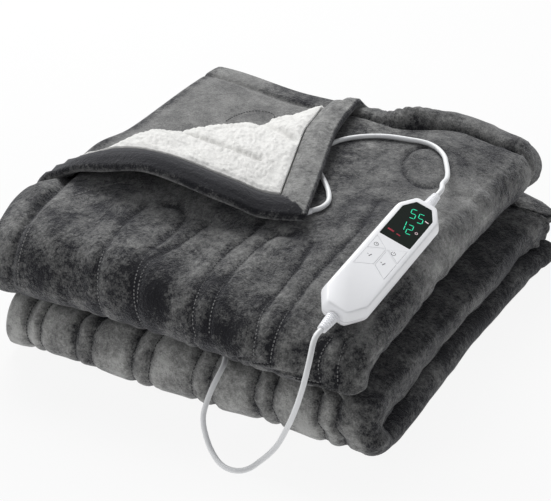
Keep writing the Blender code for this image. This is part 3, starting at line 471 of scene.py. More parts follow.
def length_fold(t, m):
    """Along the blanket: (y, z) of the stack before it settles."""
    across = PACK - GAP - m
    runs = (
        (t < T_1, TOP_HEM_Y - t, 3 * PACK + m),
        (t < T_2, *front_fold((t - T_1) / NOSE_ARC, m, 3 * PACK)),
        (t < T_2E, Y_FRONT + (t - T_2), 2 * PACK + across),
        (t < T_3, *back_fold((t - T_2E) / NOSE_ARC, across)),
        (t < T_3E, Y_BACK - (t - T_3), PACK + m),
        (t < T_4, *front_fold((t - T_3E) / NOSE_ARC, m, PACK)),
        (t >= T_4, Y_FRONT + (t - T_4), across),
    )
    y = np.select([run[0] for run in runs], [run[1] for run in runs])
    z = np.select([run[0] for run in runs], [run[2] for run in runs])
    return y, z


def front_fold(share, m, base):
    turn = share * math.pi
    radius = m + GAP / 2
    return Y_FRONT - radius * np.sin(turn), base - GAP / 2 + radius * np.cos(turn)


def back_fold(share, across):
    turn = share * math.pi
    radius = across + GAP / 2
    return Y_BACK + radius * np.sin(turn), 2 * PACK - GAP / 2 + radius * np.cos(turn)


def draw_in(x, y):
    """The top layer's back hem is drawn forwards, its side hem outwards, where the corner is turned back."""
    pull = BACK_PULL * (1.0 - smooth((x - 0.12) / 0.20))
    pull = pull + GATHER_PULL * hill(x - GATHER_X, 0.040)
    y = y - pull * np.clip((y - PULL_FROM) / (PULL_TO - PULL_FROM), 0.0, 1.0)
    side = SIDE_PULL * smooth((y - 0.06) / 0.26)
    return x - side * np.clip((0.22 - x) / 0.17, 0.0, 1.0), y


def beyond_fold(x, y):
    """(a along the corner's fold line, u beyond it) of a drawn-in point."""
    dx = x - FOLD_START[0]
    dy = y - FOLD_START[1]
    return dx * FOLD_ALONG[0] + dy * FOLD_ALONG[1], dx * FOLD_OUT[0] + dy * FOLD_OUT[1]


def turn_back(x, y, n):
    """The top layer, flat but for its corner, which rolls up over the fold line and lies back on it."""
    stand = hem_stand(x, y)
    lift = corner_arch(x, y)
    x, y = draw_in(x, y)
    a, u = beyond_fold(x, y)
    stand = stand * smooth((PILE_TUCK - u) / 0.030) + lift * smooth((u - 0.010) / 0.032)
    stand = stand - START_DROP * hill(a - 0.012, 0.034) * hill(u - 0.014, 0.020)
    roll = ROLL_START + (ROLL - ROLL_START) * smooth((a - 0.02) / 0.12)
    turn = np.clip(u / roll, 0.0, math.pi)
    run = np.maximum(u - math.pi * roll, 0.0)
    stand = stand - FLAT_CREST * smooth((a - 0.11) / 0.03) * smooth(u / 0.02) * (1.0 - smooth(run / 0.05))
    rise = np.where(turn < math.pi, roll * (1.0 - np.cos(turn)), 2 * roll - fall(a, run) * (roll / ROLL))
    off = n - LAYER / 2
    out = np.where(u > 0.0, roll * np.sin(turn) - off * np.sin(turn) - run, u)
    x = FOLD_START[0] + a * FOLD_ALONG[0] + out * FOLD_OUT[0]
    y = FOLD_START[1] + a * FOLD_ALONG[1] + out * FOLD_OUT[1]
    return x, y, 3 * PACK + 2 * PITCH + LAYER / 2 + rise + stand + off * np.cos(turn)


def corner_arch(x, y):
    """How far the turned corner stands off the top at a flat place: most in the middle of its side hem."""
    reach = np.where(y < ARCH_AT[0], ARCH_AT[1], ARCH_AT[2])
    arch = ARCH * hill(y - ARCH_AT[0], reach) * hill(x - C_HEM_X, ARCH_ACROSS)
    return arch * (1.0 - 0.85 * smooth((y - 0.325) / 0.06))


def hem_stand(x, y):
    """How far the back hem stands up at a flat place: most beside the turned corner, where it is gathered."""
    low, high = STAND_RISE
    height = low * smooth((x - 0.20) / 0.06) + high * hill(x - GATHER_X, 0.05)
    return height * smooth((y - STAND_FROM) / (TOP_HEM_Y - STAND_FROM))


def fall(a, run):
    """The turned corner sinks from the height of its roll to that of its tip, with two soft troughs."""
    trough = 0.0030 * hill(run - 0.045, 0.014) * smooth((a - 0.05) / 0.08)
    return (2 * ROLL - TIP_RISE) * smooth(run / 0.16) + trough * smooth((0.27 - a) / 0.06)


def settle(x, y, z):
    """The squared stack made soft: heights, the slumped right side, the tapered front right, slow waves."""
    top = IDEAL_HEIGHT[-1]
    z = np.interp(z, IDEAL_HEIGHT, REAL_HEIGHT) + np.maximum(z - top, 0.0)
    upper = smooth((z - REAL_HEIGHT[2] + 0.004) / 0.02)
    x = x + np.interp(z, RIGHT_LEVEL, RIGHT_EDGE) * smooth((x - 0.17) / 0.22)
    bulge = (LEFT_BULGE[0] + LEFT_BULGE[1] * hill(y - 0.10, 0.05)) * smooth((y + 0.02) / 0.06)
    left = LEFT_LEAN * (1.0 - upper) - bulge * upper
    puff = LEFT_PUFF * (1.0 - smooth((x - 0.015) / 0.10)) * smooth((y - 0.10) / 0.08)
    x = x + left * (1.0 - smooth((x + 0.01) / 0.12))
    x = x + REAR_SPREAD * (1.0 - upper) * smooth((y - 0.34) / 0.08) * smooth((x - 0.30) / 0.08)
    near_front = (1.0 - smooth((y - FRONT_Y) / 0.10)) * (1.0 - smooth((x - 0.30) / 0.10))
    y = y - FRONT_SPREAD * upper * near_front
    share = np.clip((z - REAL_HEIGHT[2]) / (REAL_HEIGHT[3] - REAL_HEIGHT[2]), 0.0, 1.0)
    right = RIGHT_SLUMP * smooth((x - 0.28) / 0.14) ** 1.5
    front = FRONT_SLUMP * smooth((x - 0.02) / 0.36) * np.clip((0.165 - y) / 0.19, 0.0, 1.0) ** 1.6
    front = front * np.clip((z - REAL_HEIGHT[2]) / (REAL_HEIGHT[4] - REAL_HEIGHT[2]), 0.0, 1.0)
    corner = CORNER_SLUMP * hill(x + 0.01, 0.05) * hill(y + 0.03, 0.055)
    rear = REAR_RISE * (1.0 - smooth(x / 0.25)) * smooth((y - 0.15) / 0.2)
    z = z - (right + corner - rear - puff) * share - front
    lifted = smooth((z - REAL_HEIGHT[4] + 0.016) / 0.006)
    tip = TIP_HUMP * hill(x - 0.200, 0.060) * hill(y - 0.350, 0.050)
    middle = CONTROLLER_HUMP * hill(x - 0.352, 0.042) * hill(y - 0.170, 0.060)
    z = z + lifted * tip + middle * share
    wave = np.sin(17.0 * x + 2.0 * np.sin(9.0 * y)) * np.sin(13.0 * y + 1.3)
    z = z * (1.0 + WAVES[0] * wave)
    off_floor = smooth(z / 0.01)
    x = x + WAVES[1] * np.sin(21.0 * y + 55.0 * z) * smooth((x - 0.25) / 0.12) * off_floor
    y = y + WAVES[2] * np.sin(26.0 * x + 40.0 * z) * (1.0 - smooth((y - 0.02) / 0.06)) * off_floor
    return x, y, z


def on_top_layer(s, t):
    return (s > S_C - 1e-9) & (t < T_1 + 1e-9)


def cloth_point(s, t, n):
    """Points of the cloth, from its flat pattern to the settled stack."""
    x, m = letter_fold(s, n)
    y, z = length_fold(t, m)
    turned = turn_back(x, y, n)
    top = on_top_layer(s, t)
    x, y, z = (np.where(top, turned[i], (x, y, z)[i]) for i in range(3))
    x, y, z = settle(x, y, z)
    lift = EDGE_LIFT * hill(x + 0.01, 0.045) * hill(y - 0.172, 0.036)
    z = z + np.where(top, 0.0, lift * smooth((z - REAL_HEIGHT[3]) / 0.02))
    return np.stack((x - CENTRE_X, y - CENTRE_Y, z), axis=-1)


# ---- the cloth's faces ----

def flat_place(s, t):
    """(x, y) on the unfolded top panel, which runs on down the front folds."""
    return X_RIGHT - (s - S_C), TOP_HEM_Y - t


def flat_pattern(x, y):
    """The (s, t) of a flat place."""
    return S_C + X_RIGHT - x, TOP_HEM_Y - y


def channel_lines():
    """The x of each sewn channel line: pairs a rib apart."""
    starts = [CHANNEL_FIRST + CHANNEL_PITCH * i for i in range(CHANNEL_PAIRS)]
    return [start + step for start in starts for step in (0.0, CHANNEL_RIB)]


def edge_of(s, t):
    """How far a place is from the nearest edge of the cloth."""
    return np.minimum(np.minimum(s, S_END - s), np.minimum(t, T_END - t))


def rounded_line(points, step):
    """The line through these flat points, as a smooth curve with points this far apart."""
    line = smooth_route([(x, y, 0.0) for x, y in points], step)
    return np.array([(p.x, p.y) for p in line])


def patch_ring(count):
    """The sewn ring behind the controller, on the top."""
    turn = np.linspace(0.0, 2 * math.pi, count + 1)
    across, along = PATCH_RADIUS[0] * np.cos(turn), PATCH_RADIUS[1] * np.sin(turn)
    lean = (math.cos(PATCH_TURN), math.sin(PATCH_TURN))
    return np.stack((PATCH_CENTRE[0] + across * lean[0] - along * lean[1],
                     PATCH_CENTRE[1] + across * lean[1] + along * lean[0]), axis=-1)


def away_from(x, y, line):
    """The distance of flat places from a flat line."""
    best = np.full(x.shape, 1.0)
    for (ax, ay), (bx, by) in zip(line, line[1:]):
        dx, dy = bx - ax, by - ay
        share = np.clip(((x - ax) * dx + (y - ay) * dy) / (dx * dx + dy * dy), 0.0, 1.0)
        best = np.minimum(best, np.hypot(x - ax - share * dx, y - ay - share * dy))
    return best


def creases(x, y, table):
    """The height that a table of soft troughs and ridges adds at flat places."""
    total = np.zeros(x.shape)
    for ax, ay, bx, by, width, height in table:
        dx, dy = bx - ax, by - ay
        share = ((x - ax) * dx + (y - ay) * dy) / (dx * dx + dy * dy)
        away = np.hypot(x - ax - share * dx, y - ay - share * dy)
        ends = smooth((share + 0.15) / 0.3) * smooth((1.15 - share) / 0.3)
        total += height * hill(away, width) * ends
    return total


def outer_face(s, t, looks):
    """The thickness at the grey face: drawn in at channels, sewn lines and hem seams, full between."""
    x, y = flat_place(s, t)
    on_c = s > S_C
    away = np.min([np.abs(x - line) for line in channel_lines()], axis=0)
    groove = hill(away, CHANNEL_WIDTH) * on_c
    lower = smooth((t - T_3E + 0.05) / 0.03) * smooth((T_4 + 0.03 - t) / 0.02)
    upper = smooth((t - T_1 - 0.012) / 0.02) * smooth((T_2 + 0.02 - t) / 0.02)
    n = LAYER - groove * (looks.channel * lower + UPPER_CHANNEL * upper) - cord_trench(x, s, t)
    dimples = 0.0012 * patches(x, y * 2.2, 0.022, 3) + 0.0007 * patches(x * 0.4, y * 3.0, 0.012, 5)
    n = n + lower * on_c * dimples
    top = on_c & (t < T_2)
    n = n - looks.sewn * sewn_share(x, y, top, SEWN_WIDTH)
    n = n + np.where(top, creases(x, y, TOP_CREASES) + 0.0006 * patches(x, y, 0.030, 1), 0.0)
    fold = (s > S_BR - 0.01) & (s < S_C + 0.02)
    n = n + np.where(fold, 0.0012 * patches(t, s * 0.3, 0.018, 5) + 0.0008 * patches(t, s, 0.009, 6), 0.0)
    wrap = (s > S_BR) * (s < S_C + 0.03) * smooth((t - T_2E + 0.03) / 0.02) * smooth((T_3 + 0.03 - t) / 0.02)
    depth, length = WRAP_WRINKLES
    n = n + depth * wrap * np.sin(t / length + 3.0 * patches(t, s, 0.03, 7))
    edge = edge_of(s, t)
    seam = hill(edge - looks.hem, SEAM_WIDTH)
    puff = smooth(edge / 0.010) * smooth((looks.hem - 0.002 - edge) / 0.008)
    proud = np.where(on_top_layer(s, t), looks.hem_puff, HIDDEN_PUFF)
    n = n - looks.seam * seam * np.where(on_top_layer(s, t), 1.0, 0.6) + proud * puff
    back_hem = smooth((0.034 - t) / 0.01) * on_top_layer(s, t)
    depth, length, middle, reach = PLEATS
    n = n + depth * back_hem * patches(x, t * 0.3, 0.011, 9)
    n = n - GATHERS * seam * back_hem * smooth((x - 0.2) / 0.03)
    return n + depth * hill(x - middle, reach) * back_hem * np.sin(2 * math.pi * x / length)


def sewn_share(x, y, top, width):
    """1 on the sewn lines of the top and the upper front, falling to 0 about this far from them."""
    sewn = np.zeros(x.shape)
    near = top & (y > -0.05)
    lines = [rounded_line(points, 0.006) for points in SEWN_LINES.values()] + [patch_ring(24)]
    for line in lines:
        sewn[near] = np.maximum(sewn[near], hill(away_from(x[near], y[near], line), width))
    return sewn


def cord_trench(x, s, t):
    """How far the two faces between the upper and lower half give way to the cord that lies between them."""
    away = np.minimum(np.abs(t - T_2), np.abs(t - T_3E))
    return TRENCH * hill(away, 0.008) * (s > S_C) * smooth((0.285 - x) / 0.03)


def inner_face(s, t, looks):
    """The thickness at the white face: the hem turned over on it, and a recess under the white pile."""
    x, y = draw_in(*flat_place(s, t))
    u = beyond_fold(x, y)[1]
    depth = np.minimum(np.minimum(S_END - s, t) - looks.hem, u - PILE_TUCK) / PILE_STEP
    top = on_top_layer(s, t)
    floor = PILE_FLOOR * np.clip(depth, 0.0, 1.0) * top
    edge = np.minimum(S_END - s, t)
    puff = smooth(edge / 0.010) * smooth((looks.hem - edge) / 0.010) * top * smooth((u + 0.01) / 0.02)
    return floor - 0.0030 * puff


def steps(*runs):
    """Places along runs of (start, end, step), each run cut into even steps."""
    found = []
    for start, end, step in runs:
        count = max(1, round((end - start) / step))
        found += [start + (end - start) * i / count for i in range(count)]
    return found + [runs[-1][1]]


def columns(looks):
    """s of the mesh's lines along the blanket: close together on the top panel and round the folds."""
    seam = S_END - looks.hem
    marks = [S_C] + [S_C + X_RIGHT - line for line in channel_lines()[:0:-1]] + [seam - 0.006]
    top_panel = [(low, high, 0.0031) for low, high in zip(marks, marks[1:])]
    return np.array(steps(
        (0.0, looks.hem, 0.0047), (looks.hem, S_A, 0.0080), (S_A, S_B, 0.0020),
        (S_B, S_B + 0.02, 0.0050), (S_B + 0.02, S_BR - 0.02, 0.0160), (S_BR - 0.02, S_BR, 0.0040),
        (S_BR, S_C, 0.0024), *top_panel, (seam - 0.006, seam + 0.006, 0.0015), (seam + 0.006, S_END, 0.0027),
    ))


def rows(looks):
    """t of the mesh's lines across the blanket."""
    return np.array(steps(
        (0.0, looks.hem - 0.006, 0.0027), (looks.hem - 0.006, looks.hem + 0.006, 0.0015),
        (looks.hem + 0.006, T_1, 0.0031), (T_1, T_2, 0.0015), (T_2, T_2 + 0.02, 0.0050),
        (T_2 + 0.02, T_2E - 0.03, 0.0160), (T_2E - 0.03, T_2E, 0.0060), (T_2E, T_3, 0.0026),
        (T_3, T_3 + 0.03, 0.0060), (T_3 + 0.03, T_3E - 0.03, 0.0160), (T_3E - 0.03, T_3E, 0.0035),
        (T_3E, T_4, 0.0015), (T_4, T_4 + 0.03, 0.0050), (T_4 + 0.03, T_END - looks.hem, 0.0160),
        (T_END - looks.hem, T_END, 0.0045),
    ))


def thinned(values, kept_within, every):
    """Indices of every few values, and of all that lie in the given spans."""
    found = [0]
    for i in range(1, len(values) - 1):
        fine = any(low <= values[i] <= high for low, high in kept_within)
        if fine or i - found[-1] >= every:
            found.append(i)
    return np.array(found + [len(values) - 1])


def grid_quads(index):
    """The quads between the neighbouring entries of a grid of point numbers."""
    return np.stack((index[:-1, :-1], index[1:, :-1], index[1:, 1:], index[:-1, 1:]), axis=-1).reshape(-1, 4)


def perimeter(index):
    """The grid's border, once round from its first corner."""
    return np.concatenate((index[:-1, 0], index[-1, :-1], index[:0:-1, -1], index[0, :0:-1]))


def linked(name, data):
    """A new object of this data, in the scene."""
    obj = bpy.data.objects.new(name, data)
    bpy.context.scene.collection.objects.link(obj)
    return obj


def keep(piece, slot, *nodes):
    """A piece of the part: it rides on the root and stands for these solids; its slot is not used."""
    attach(piece, "root")
    if nodes:
        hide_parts(*nodes)


def mesh_piece(name, points, faces, materials, face_material=None, smooth_faces=True):
    """A mesh object in the part's frame."""
    mesh = bpy.data.meshes.new(name)
    mesh.from_pydata([tuple(p) for p in points], [], [tuple(int(i) for i in f) for f in faces])
    for material in materials:
        mesh.materials.append(material)
    if face_material is not None:
        mesh.polygons.foreach_set("material_index", np.asarray(face_material, np.int32))
    if smooth_faces:
        mesh.shade_smooth()
    mesh.validate()
    return linked(name, mesh)


def add_value(obj, name, values):
    """A number for each point, which the material reads."""
    obj.data.attributes.new(name, "FLOAT", "POINT").data.foreach_set("value", values.astype(np.float32))


def nap_and_painted_light_of(s, t, looks):
    """(the grey face's tone, 0 dark to 1 light, which is mostly painted light and shade with the nap's random
    mottle on it; how uneven it is) by place.
    """
    x, y = flat_place(s, t)
    on_c = smooth((s - S_C + 0.004) / 0.008)
    top = on_c * smooth((T_1 - t) / 0.02)
    nap_and_painted_light = np.full(s.shape, NAP_AND_PAINTED_LIGHT["folds"])
    stir = np.full(s.shape, 1.0)
    # The right fold is painted a little lighter, and its back, turned from the light, gets painted shade.
    right_fold = (s > S_BR) & (s < S_C + 0.004) & (t < T_2)
    back = smooth((S_C - 0.016 - s) / 0.010)
    nap_and_painted_light = nap_and_painted_light + right_fold * (NAP_AND_PAINTED_LIGHT["right_fold"] + NAP_AND_PAINTED_LIGHT["right_fold_back_shade"] * back)
    # Painted sheen: the middle panel that shows behind the turned corner is made light, with a darker spot
    # and darker along its back hem.
    middle = (s < S_A) & (t < T_1)
    across = X_LEFT + S_A - s
    spot = hill(across - 0.098, 0.022) * hill(y - 0.338, 0.022)
    hem_dark = smooth((looks.hem - t) / 0.004) * smooth((across - 0.060) / 0.02)
    tone = NAP_AND_PAINTED_LIGHT["middle"] + NAP_AND_PAINTED_LIGHT["middle_spot"] * spot + NAP_AND_PAINTED_LIGHT["middle_hem"] * hem_dark
    nap_and_painted_light = np.where(middle, tone, nap_and_painted_light)
    stir = np.where(middle, 0.45 + 0.4 * hem_dark, stir)
    # Painted light and shade on the top and its front: lighter to the right and at the front right, darker at
    # the front left.
    front = smooth((0.11 - y) / 0.05)
    nap_and_painted_light = nap_and_painted_light + top * (NAP_AND_PAINTED_LIGHT["top"] + NAP_AND_PAINTED_LIGHT["top_right"] * smooth((x - 0.22) / 0.06))
    nap_and_painted_light = nap_and_painted_light + top * front * NAP_AND_PAINTED_LIGHT["front_right"] * smooth((x - 0.27) / 0.06)
    nap_and_painted_light = nap_and_painted_light + top * front * NAP_AND_PAINTED_LIGHT["front_left"] * smooth((0.15 - x) / 0.08)
    stir = stir - 0.35 * top * smooth((x - 0.24) / 0.06)
    # Painted shade on the front fold below the top, deeper at its left.
    nose = on_c * smooth((t - T_1 + 0.02) / 0.05) * smooth((T_2 + 0.02 - t) / 0.02)
    nap_and_painted_light = nap_and_painted_light + nose * (NAP_AND_PAINTED_LIGHT["nose"] + NAP_AND_PAINTED_LIGHT["nose_left"] * smooth((0.14 - x) / 0.06))
    # Painted light on the ribs of the lower front fold and painted shade in the channels between them, with
    # the nap's random mottle.
    lower = on_c * smooth((t - T_3E + 0.04) / 0.03) * smooth((T_4 + 0.04 - t) / 0.03)
    away = np.min([np.abs(x - line) for line in channel_lines()], axis=0)
    mottle = patches(x, y, 0.013, 5) + 0.8 * patches(x, y * 0.5, 0.024, 7)
    tone = NAP_AND_PAINTED_LIGHT["ribs"] + NAP_AND_PAINTED_LIGHT["ribs_right"] * smooth((x - 0.19) / 0.14) + NAP_AND_PAINTED_LIGHT["channels"] * hill(away, 0.0046)
    nap_and_painted_light = nap_and_painted_light + lower * (tone + NAP_AND_PAINTED_LIGHT["ribs_mottle"] * mottle)
    # Painted highlight along the crest of the right fold beside the top.
    crest = hill(s - S_C + 0.014, 0.006) * (t < T_1 + 0.03)
    nap_and_painted_light = nap_and_painted_light + NAP_AND_PAINTED_LIGHT["crest"] * crest
    # Painted shade in the seams beside the top's hems, and painted light on the top's back hem, more at its
    # right.
    edge = np.minimum(S_END - s, t)
    seam = hill(edge - looks.hem, 0.0035) * on_c * (t < T_1)
    back_hem = smooth((looks.hem - t) / 0.004) * top
    right = smooth((x - 0.26) / 0.06)
    nap_and_painted_light = nap_and_painted_light + NAP_AND_PAINTED_LIGHT["seams"] * seam + back_hem * (NAP_AND_PAINTED_LIGHT["back_hem"] + NAP_AND_PAINTED_LIGHT["back_hem_right"] * right)
    # Painted shade along the sewn lines of the top and the upper front.
    nap_and_painted_light = nap_and_painted_light + NAP_AND_PAINTED_LIGHT["sewn"] * sewn_share(x, y, (s > S_C) & (t < T_2), 0.0026)
    # Painted light at the far right of the top, short of its back.
    nap_and_painted_light = nap_and_painted_light + NAP_AND_PAINTED_LIGHT["far_right"] * top * smooth((x - 0.330) / 0.03) * smooth((0.34 - y) / 0.06)
    # The clouds are the nap's own random mottle.
    blotch = 0.55 * patches(x, y * 0.6, 0.050, 2) + 0.45 * patches(x, y * 0.6, 0.021, 4)
    blotch = blotch + 0.35 * patches(x, y * 0.7, 0.010, 8)
    return nap_and_painted_light + NAP_AND_PAINTED_LIGHT["clouds"] * stir * blotch, stir


def hem_tone_and_rim_highlight(s, t):
    """The same for the hems that are turned over on the white face: the side hem dark and the back hem light,
    each with a painted highlight along its outer rim.
    """
    side = S_END - s < t
    edge = np.minimum(S_END - s, t)
    rim = smooth((0.0036 - edge) / 0.0034)
    nap_and_painted_light = np.where(side, -0.22 + 0.08 * rim, 0.80 + 0.10 * rim)
    return nap_and_painted_light + 0.12 * patches(s, t, 0.016, 3), np.where(side, 0.35, 0.9)


def make_cloth(looks):
    """The throw: its grey face, its inner face and a rounded rim, as one closed sheet."""
    s_lines, t_lines = columns(looks), rows(looks)
    s, t = np.meshgrid(s_lines, t_lines, indexing="ij")
    outer = cloth_point(s, t, outer_face(s, t, looks))
    outer_index = np.arange(s.size).reshape(s.shape)
    kept_s = thinned(s_lines, ((S_A, S_B), (S_BR, S_C), (S_END - looks.hem - 0.008, S_END)), 3)
    kept_t = thinned(t_lines, ((0.0, looks.hem + 0.008), (T_1, T_2), (T_2E, T_3), (T_3E, T_4)), 3)
    si, ti = np.meshgrid(s_lines[kept_s], t_lines[kept_t], indexing="ij")
    inner = cloth_point(si, ti, inner_face(si, ti, looks))
    inner_index = s.size + np.arange(si.size).reshape(si.shape)
    border = perimeter(outer_index)
    bs, bt = s.ravel()[border], t.ravel()[border]
    sign_s = (bs > S_END - 1e-9) * 1.0 - (bs < 1e-9)
    sign_t = (bt > T_END - 1e-9) * 1.0 - (bt < 1e-9)
    rings = [border]
    points = [outer.reshape(-1, 3), inner.reshape(-1, 3)]
    count = s.size + si.size
    for out, share in RIM_RINGS:
        points.append(cloth_point(bs + out * sign_s, bt + out * sign_t, np.full(bs.shape, LAYER * share)))
        rings.append(count + np.arange(len(border)))
        count += len(border)
    faces = [tuple(f) for f in grid_quads(outer_index)]
    for low, high in zip(rings, rings[1:]):
        faces += [tuple(f) for f in np.stack((low, high, np.roll(high, -1), np.roll(low, -1)), axis=-1)]
    faces += inner_fans(outer_index, inner_index, kept_s, kept_t, border, rings[-1])
    quads = grid_quads(inner_index)[:, ::-1]
    edge = edge_of(si, ti).ravel()[quads - s.size].mean(axis=1)
    material = [0] * len(faces) + [int(e > looks.hem + WHITE_INSET) for e in edge]
    faces += [tuple(f) for f in quads]
    every_s = np.concatenate((s.ravel(), si.ravel(), bs, bs, bs))
    every_t = np.concatenate((t.ravel(), ti.ravel(), bt, bt, bt))
    cloth = mesh_piece("throw", np.concatenate(points), faces, [flannel(looks), fleece(looks)], material)
    # The grey face's tone: painted light and shade with the nap's random mottle; the hems on the white face
    # get their own, and the turned corner's rim its painted rim highlight and shade.
    nap_and_painted_light, stir = nap_and_painted_light_of(every_s, every_t, looks)
    inside = slice(s.size, s.size + si.size)
    nap_and_painted_light[inside], stir[inside] = hem_tone_and_rim_highlight(si.ravel(), ti.ravel())
    turned = slice(s.size + si.size, None)
    rim = np.repeat(RIM_PAINTED_LIGHT, len(border))
    nap_and_painted_light[turned] = np.where((every_s[turned] > S_C) & (every_t[turned] < RIM_PAINTED_LIGHT_TO), rim, nap_and_painted_light[turned])
    add_value(cloth, "nap_and_painted_light", nap_and_painted_light)
    add_value(cloth, "stir", stir)
    fix_normals(cloth)
    return cloth


def inner_fans(outer_index, inner_index, kept_s, kept_t, border, ring):
    """Faces between the rim's last ring and the coarser border of the inner face."""
    place = {int(point): i for i, point in enumerate(border)}
    inner_border = perimeter(inner_index)
    fine = perimeter(outer_index[np.ix_(kept_s, kept_t)])
    found = []
    for k in range(len(fine)):
        first = place[int(fine[k])]
        last = place[int(fine[(k + 1) % len(fine)])]
        span = (last - first) % len(border)
        low = [int(ring[(first + i) % len(border)]) for i in range(span + 1)]
        found.append((*low[::-1], int(inner_border[k]), int(inner_border[(k + 1) % len(fine)])))
    return found


def fix_normals(obj):
    """Turns every face of a closed mesh outwards."""
    shape = bmesh.new()
    shape.from_mesh(obj.data)
    bmesh.ops.recalc_face_normals(shape, faces=shape.faces)
    if shape.calc_volume(signed=True) < 0.0:
        bmesh.ops.reverse_faces(shape, faces=shape.faces)
    shape.to_mesh(obj.data)
    shape.free()


def make_pile(looks):
    """The white curls on the turned corner, as a closed skin seated in the cloth's recess."""
    inset = looks.hem + PILE_STEP
    s_lines = np.array(steps((S_END - PILE_REACH[0], S_END - inset, PILE_MESH)))
    t_lines = np.array(steps((inset, PILE_REACH[1], PILE_MESH)))
    s, t = np.meshgrid(s_lines, t_lines, indexing="ij")
    a, u = beyond_fold(*draw_in(*flat_place(s, t)))
    inside = u > PILE_TUCK + PILE_STEP
    near = np.minimum(np.minimum(S_END - s, t) - inset, (u - PILE_TUCK - PILE_STEP) * 0.6)
    border = smooth(near / 0.006)
    curls = 0.66 * domes(s + 0.0016 * patches(s, t, 0.004, 3), t, looks.curl, 1)
    curls = curls + 0.34 * domes(s, t, FINE_CURL, 2)
    clump = 0.5 + 0.5 * patches(s, t, 0.016, 6)
    height = looks.pile * (0.30 + 0.70 * curls) * (0.70 + 0.55 * clump) * (0.25 + 0.75 * border)
    crest = np.interp(a, *zip(*CREST)) * hill(u - 0.014, 0.018)
    grooves = sum(hill(away_from(a, u, line), GROOVE_WIDTH) for line in GROOVES)
    height = height + (crest - GROOVE_DEPTH * grooves) * border
    over = cloth_point(s, t, np.minimum(-0.0004 - height, PILE_FLOOR - 0.0018))
    under = cloth_point(s, t, np.full(s.shape, PILE_FLOOR - 2 * SEAT))
    index = np.arange(s.size).reshape(s.shape)
    quads = grid_quads(index)
    kept = quads[inside.ravel()[quads].all(axis=1)]
    faces = [tuple(f) for f in kept[:, ::-1]] + [tuple(f + s.size) for f in kept]
    ends = {(int(a), int(b)) for f in kept for a, b in zip(f, np.roll(f, -1))}
    faces += [(a, b, b + s.size, a + s.size) for a, b in ends if (b, a) not in ends]
    points = np.concatenate((over.reshape(-1, 3), under.reshape(-1, 3)))
    used = np.unique(np.concatenate([np.array(f) for f in faces]))
    new = np.full(len(points), -1)
    new[used] = np.arange(len(used))
    faces = [tuple(new[list(f)]) for f in faces]
    pile = mesh_piece("white_pile", points[used], faces, [fleece(looks)])
    fix_normals(pile)
    return pile


# ---- stitches ----

def outer_frame(s, t, looks):
    """Places on the grey face and the outward direction there."""
    step = 0.0015
    here = cloth_point(s, t, outer_face(s, t, looks))
    along_s = cloth_point(s + step, t, outer_face(s + step, t, looks)) - here
    along_t = cloth_point(s, t + step, outer_face(s, t + step, looks)) - here
    out = np.cross(along_s, along_t)
    out /= np.linalg.norm(out, axis=-1, keepdims=True)
    lifted = cloth_point(s, t, outer_face(s, t, looks) + 0.001) - here
    out *= np.sign((out * lifted).sum(axis=-1, keepdims=True))
    return here, out


def stitch_row(s, t, looks):
    """The small closed bars of one row of stitches along flat places (s, t): (points, faces)."""
    place, out = outer_frame(s, t, looks)
    length = np.concatenate(([0.0], np.cumsum(np.linalg.norm(np.diff(place, axis=0), axis=1))))
    points, faces = [], []
    at = 0.5 * looks.stitch_pitch
    while at + looks.stitch < length[-1]:
        ends = []
        for reach in (at, at + looks.stitch / 2, at + looks.stitch):
            ends.append([np.interp(reach, length, place[:, k]) for k in range(3)])
        up = np.array([np.interp(at, length, out[:, k]) for k in range(3)])
        add_bar(points, faces, np.array(ends), up)
        at += looks.stitch_pitch
    return points, faces


def add_bar(points, faces, ends, up):
    """One stitch: a bar of thread that dips into the cloth at both ends."""
    along = ends[2] - ends[0]
    along /= np.linalg.norm(along)
    side = np.cross(up, along)
    first = len(points)
    for end, lift in zip(ends, (-0.0002, 0.00035, -0.0002)):
        for a, b in ((-1, -1), (1, -1), (1, 1), (-1, 1)):
            points.append(end + side * (0.00045 * a) + up * (lift + 0.00030 * b))
    for ring in (0, 4):
        for i in range(4):
            a, b = first + ring + i, first + ring + (i + 1) % 4
            faces.append((a, b, b + 4, a + 4))
    faces.append(tuple(first + i for i in (3, 2, 1, 0)))
    faces.append(tuple(first + i for i in (8, 9, 10, 11)))


def sewn_rows():
    """(s, t, how pale at the back, how pale at the front) of every row of stitches that shows. The sewn lines
    go pale towards the front fold as a painted highlight on their thread; the row beside the turned corner's
    start is pale throughout.
    """
    found = [(*rounded_line(line, 0.002).T, 0.0, 0.0) for line in (SIDE_HAIRPIN, MIDDLE_HAIRPIN)]
    hem_row = rounded_line(HEM_ROW, 0.002)
    found.append((*flat_pattern(hem_row[:, 0], hem_row[:, 1]), 0.8, 0.8))
    for points in SEWN_LINES.values():
        line = rounded_line(points, 0.002)
        found.append((*flat_pattern(line[:, 0], line[:, 1]), 0.0, 1.0))
    ring = patch_ring(90)
    found.append((*flat_pattern(ring[:, 0], ring[:, 1]), 0.0, 0.0))
    for x in channel_lines():
        t = np.linspace(T_3E - 0.01, T_4 + 0.005, 60)
        found.append((np.full(t.shape, S_C + X_RIGHT - x), t, 0.0, 0.0))
    return found


def make_stitches(looks):
    points, faces, pale = [], [], []
    for s, t, back, front in sewn_rows():
        more, bars = stitch_row(s, t, looks)
        first = len(points)
        points += more
        faces += [tuple(first + i for i in f) for f in bars]
        # Painted highlight: stitches of a row that goes pale at the front are made paler towards the front
        # fold.
        pale += [back + (front - back) * smooth((0.030 - place[1] - CENTRE_Y) / 0.05) for place in more]
    stitches = mesh_piece("sewn_thread", points, faces, [thread()], smooth_faces=False)
    add_value(stitches, "pale", np.array(pale, float))
    return stitches


# ---- cords ----

def in_model(point):
    """A point given from the stack's front left corner, in the part's own frame."""
    return Vector(point) - Vector((CENTRE_X, CENTRE_Y, 0.0))


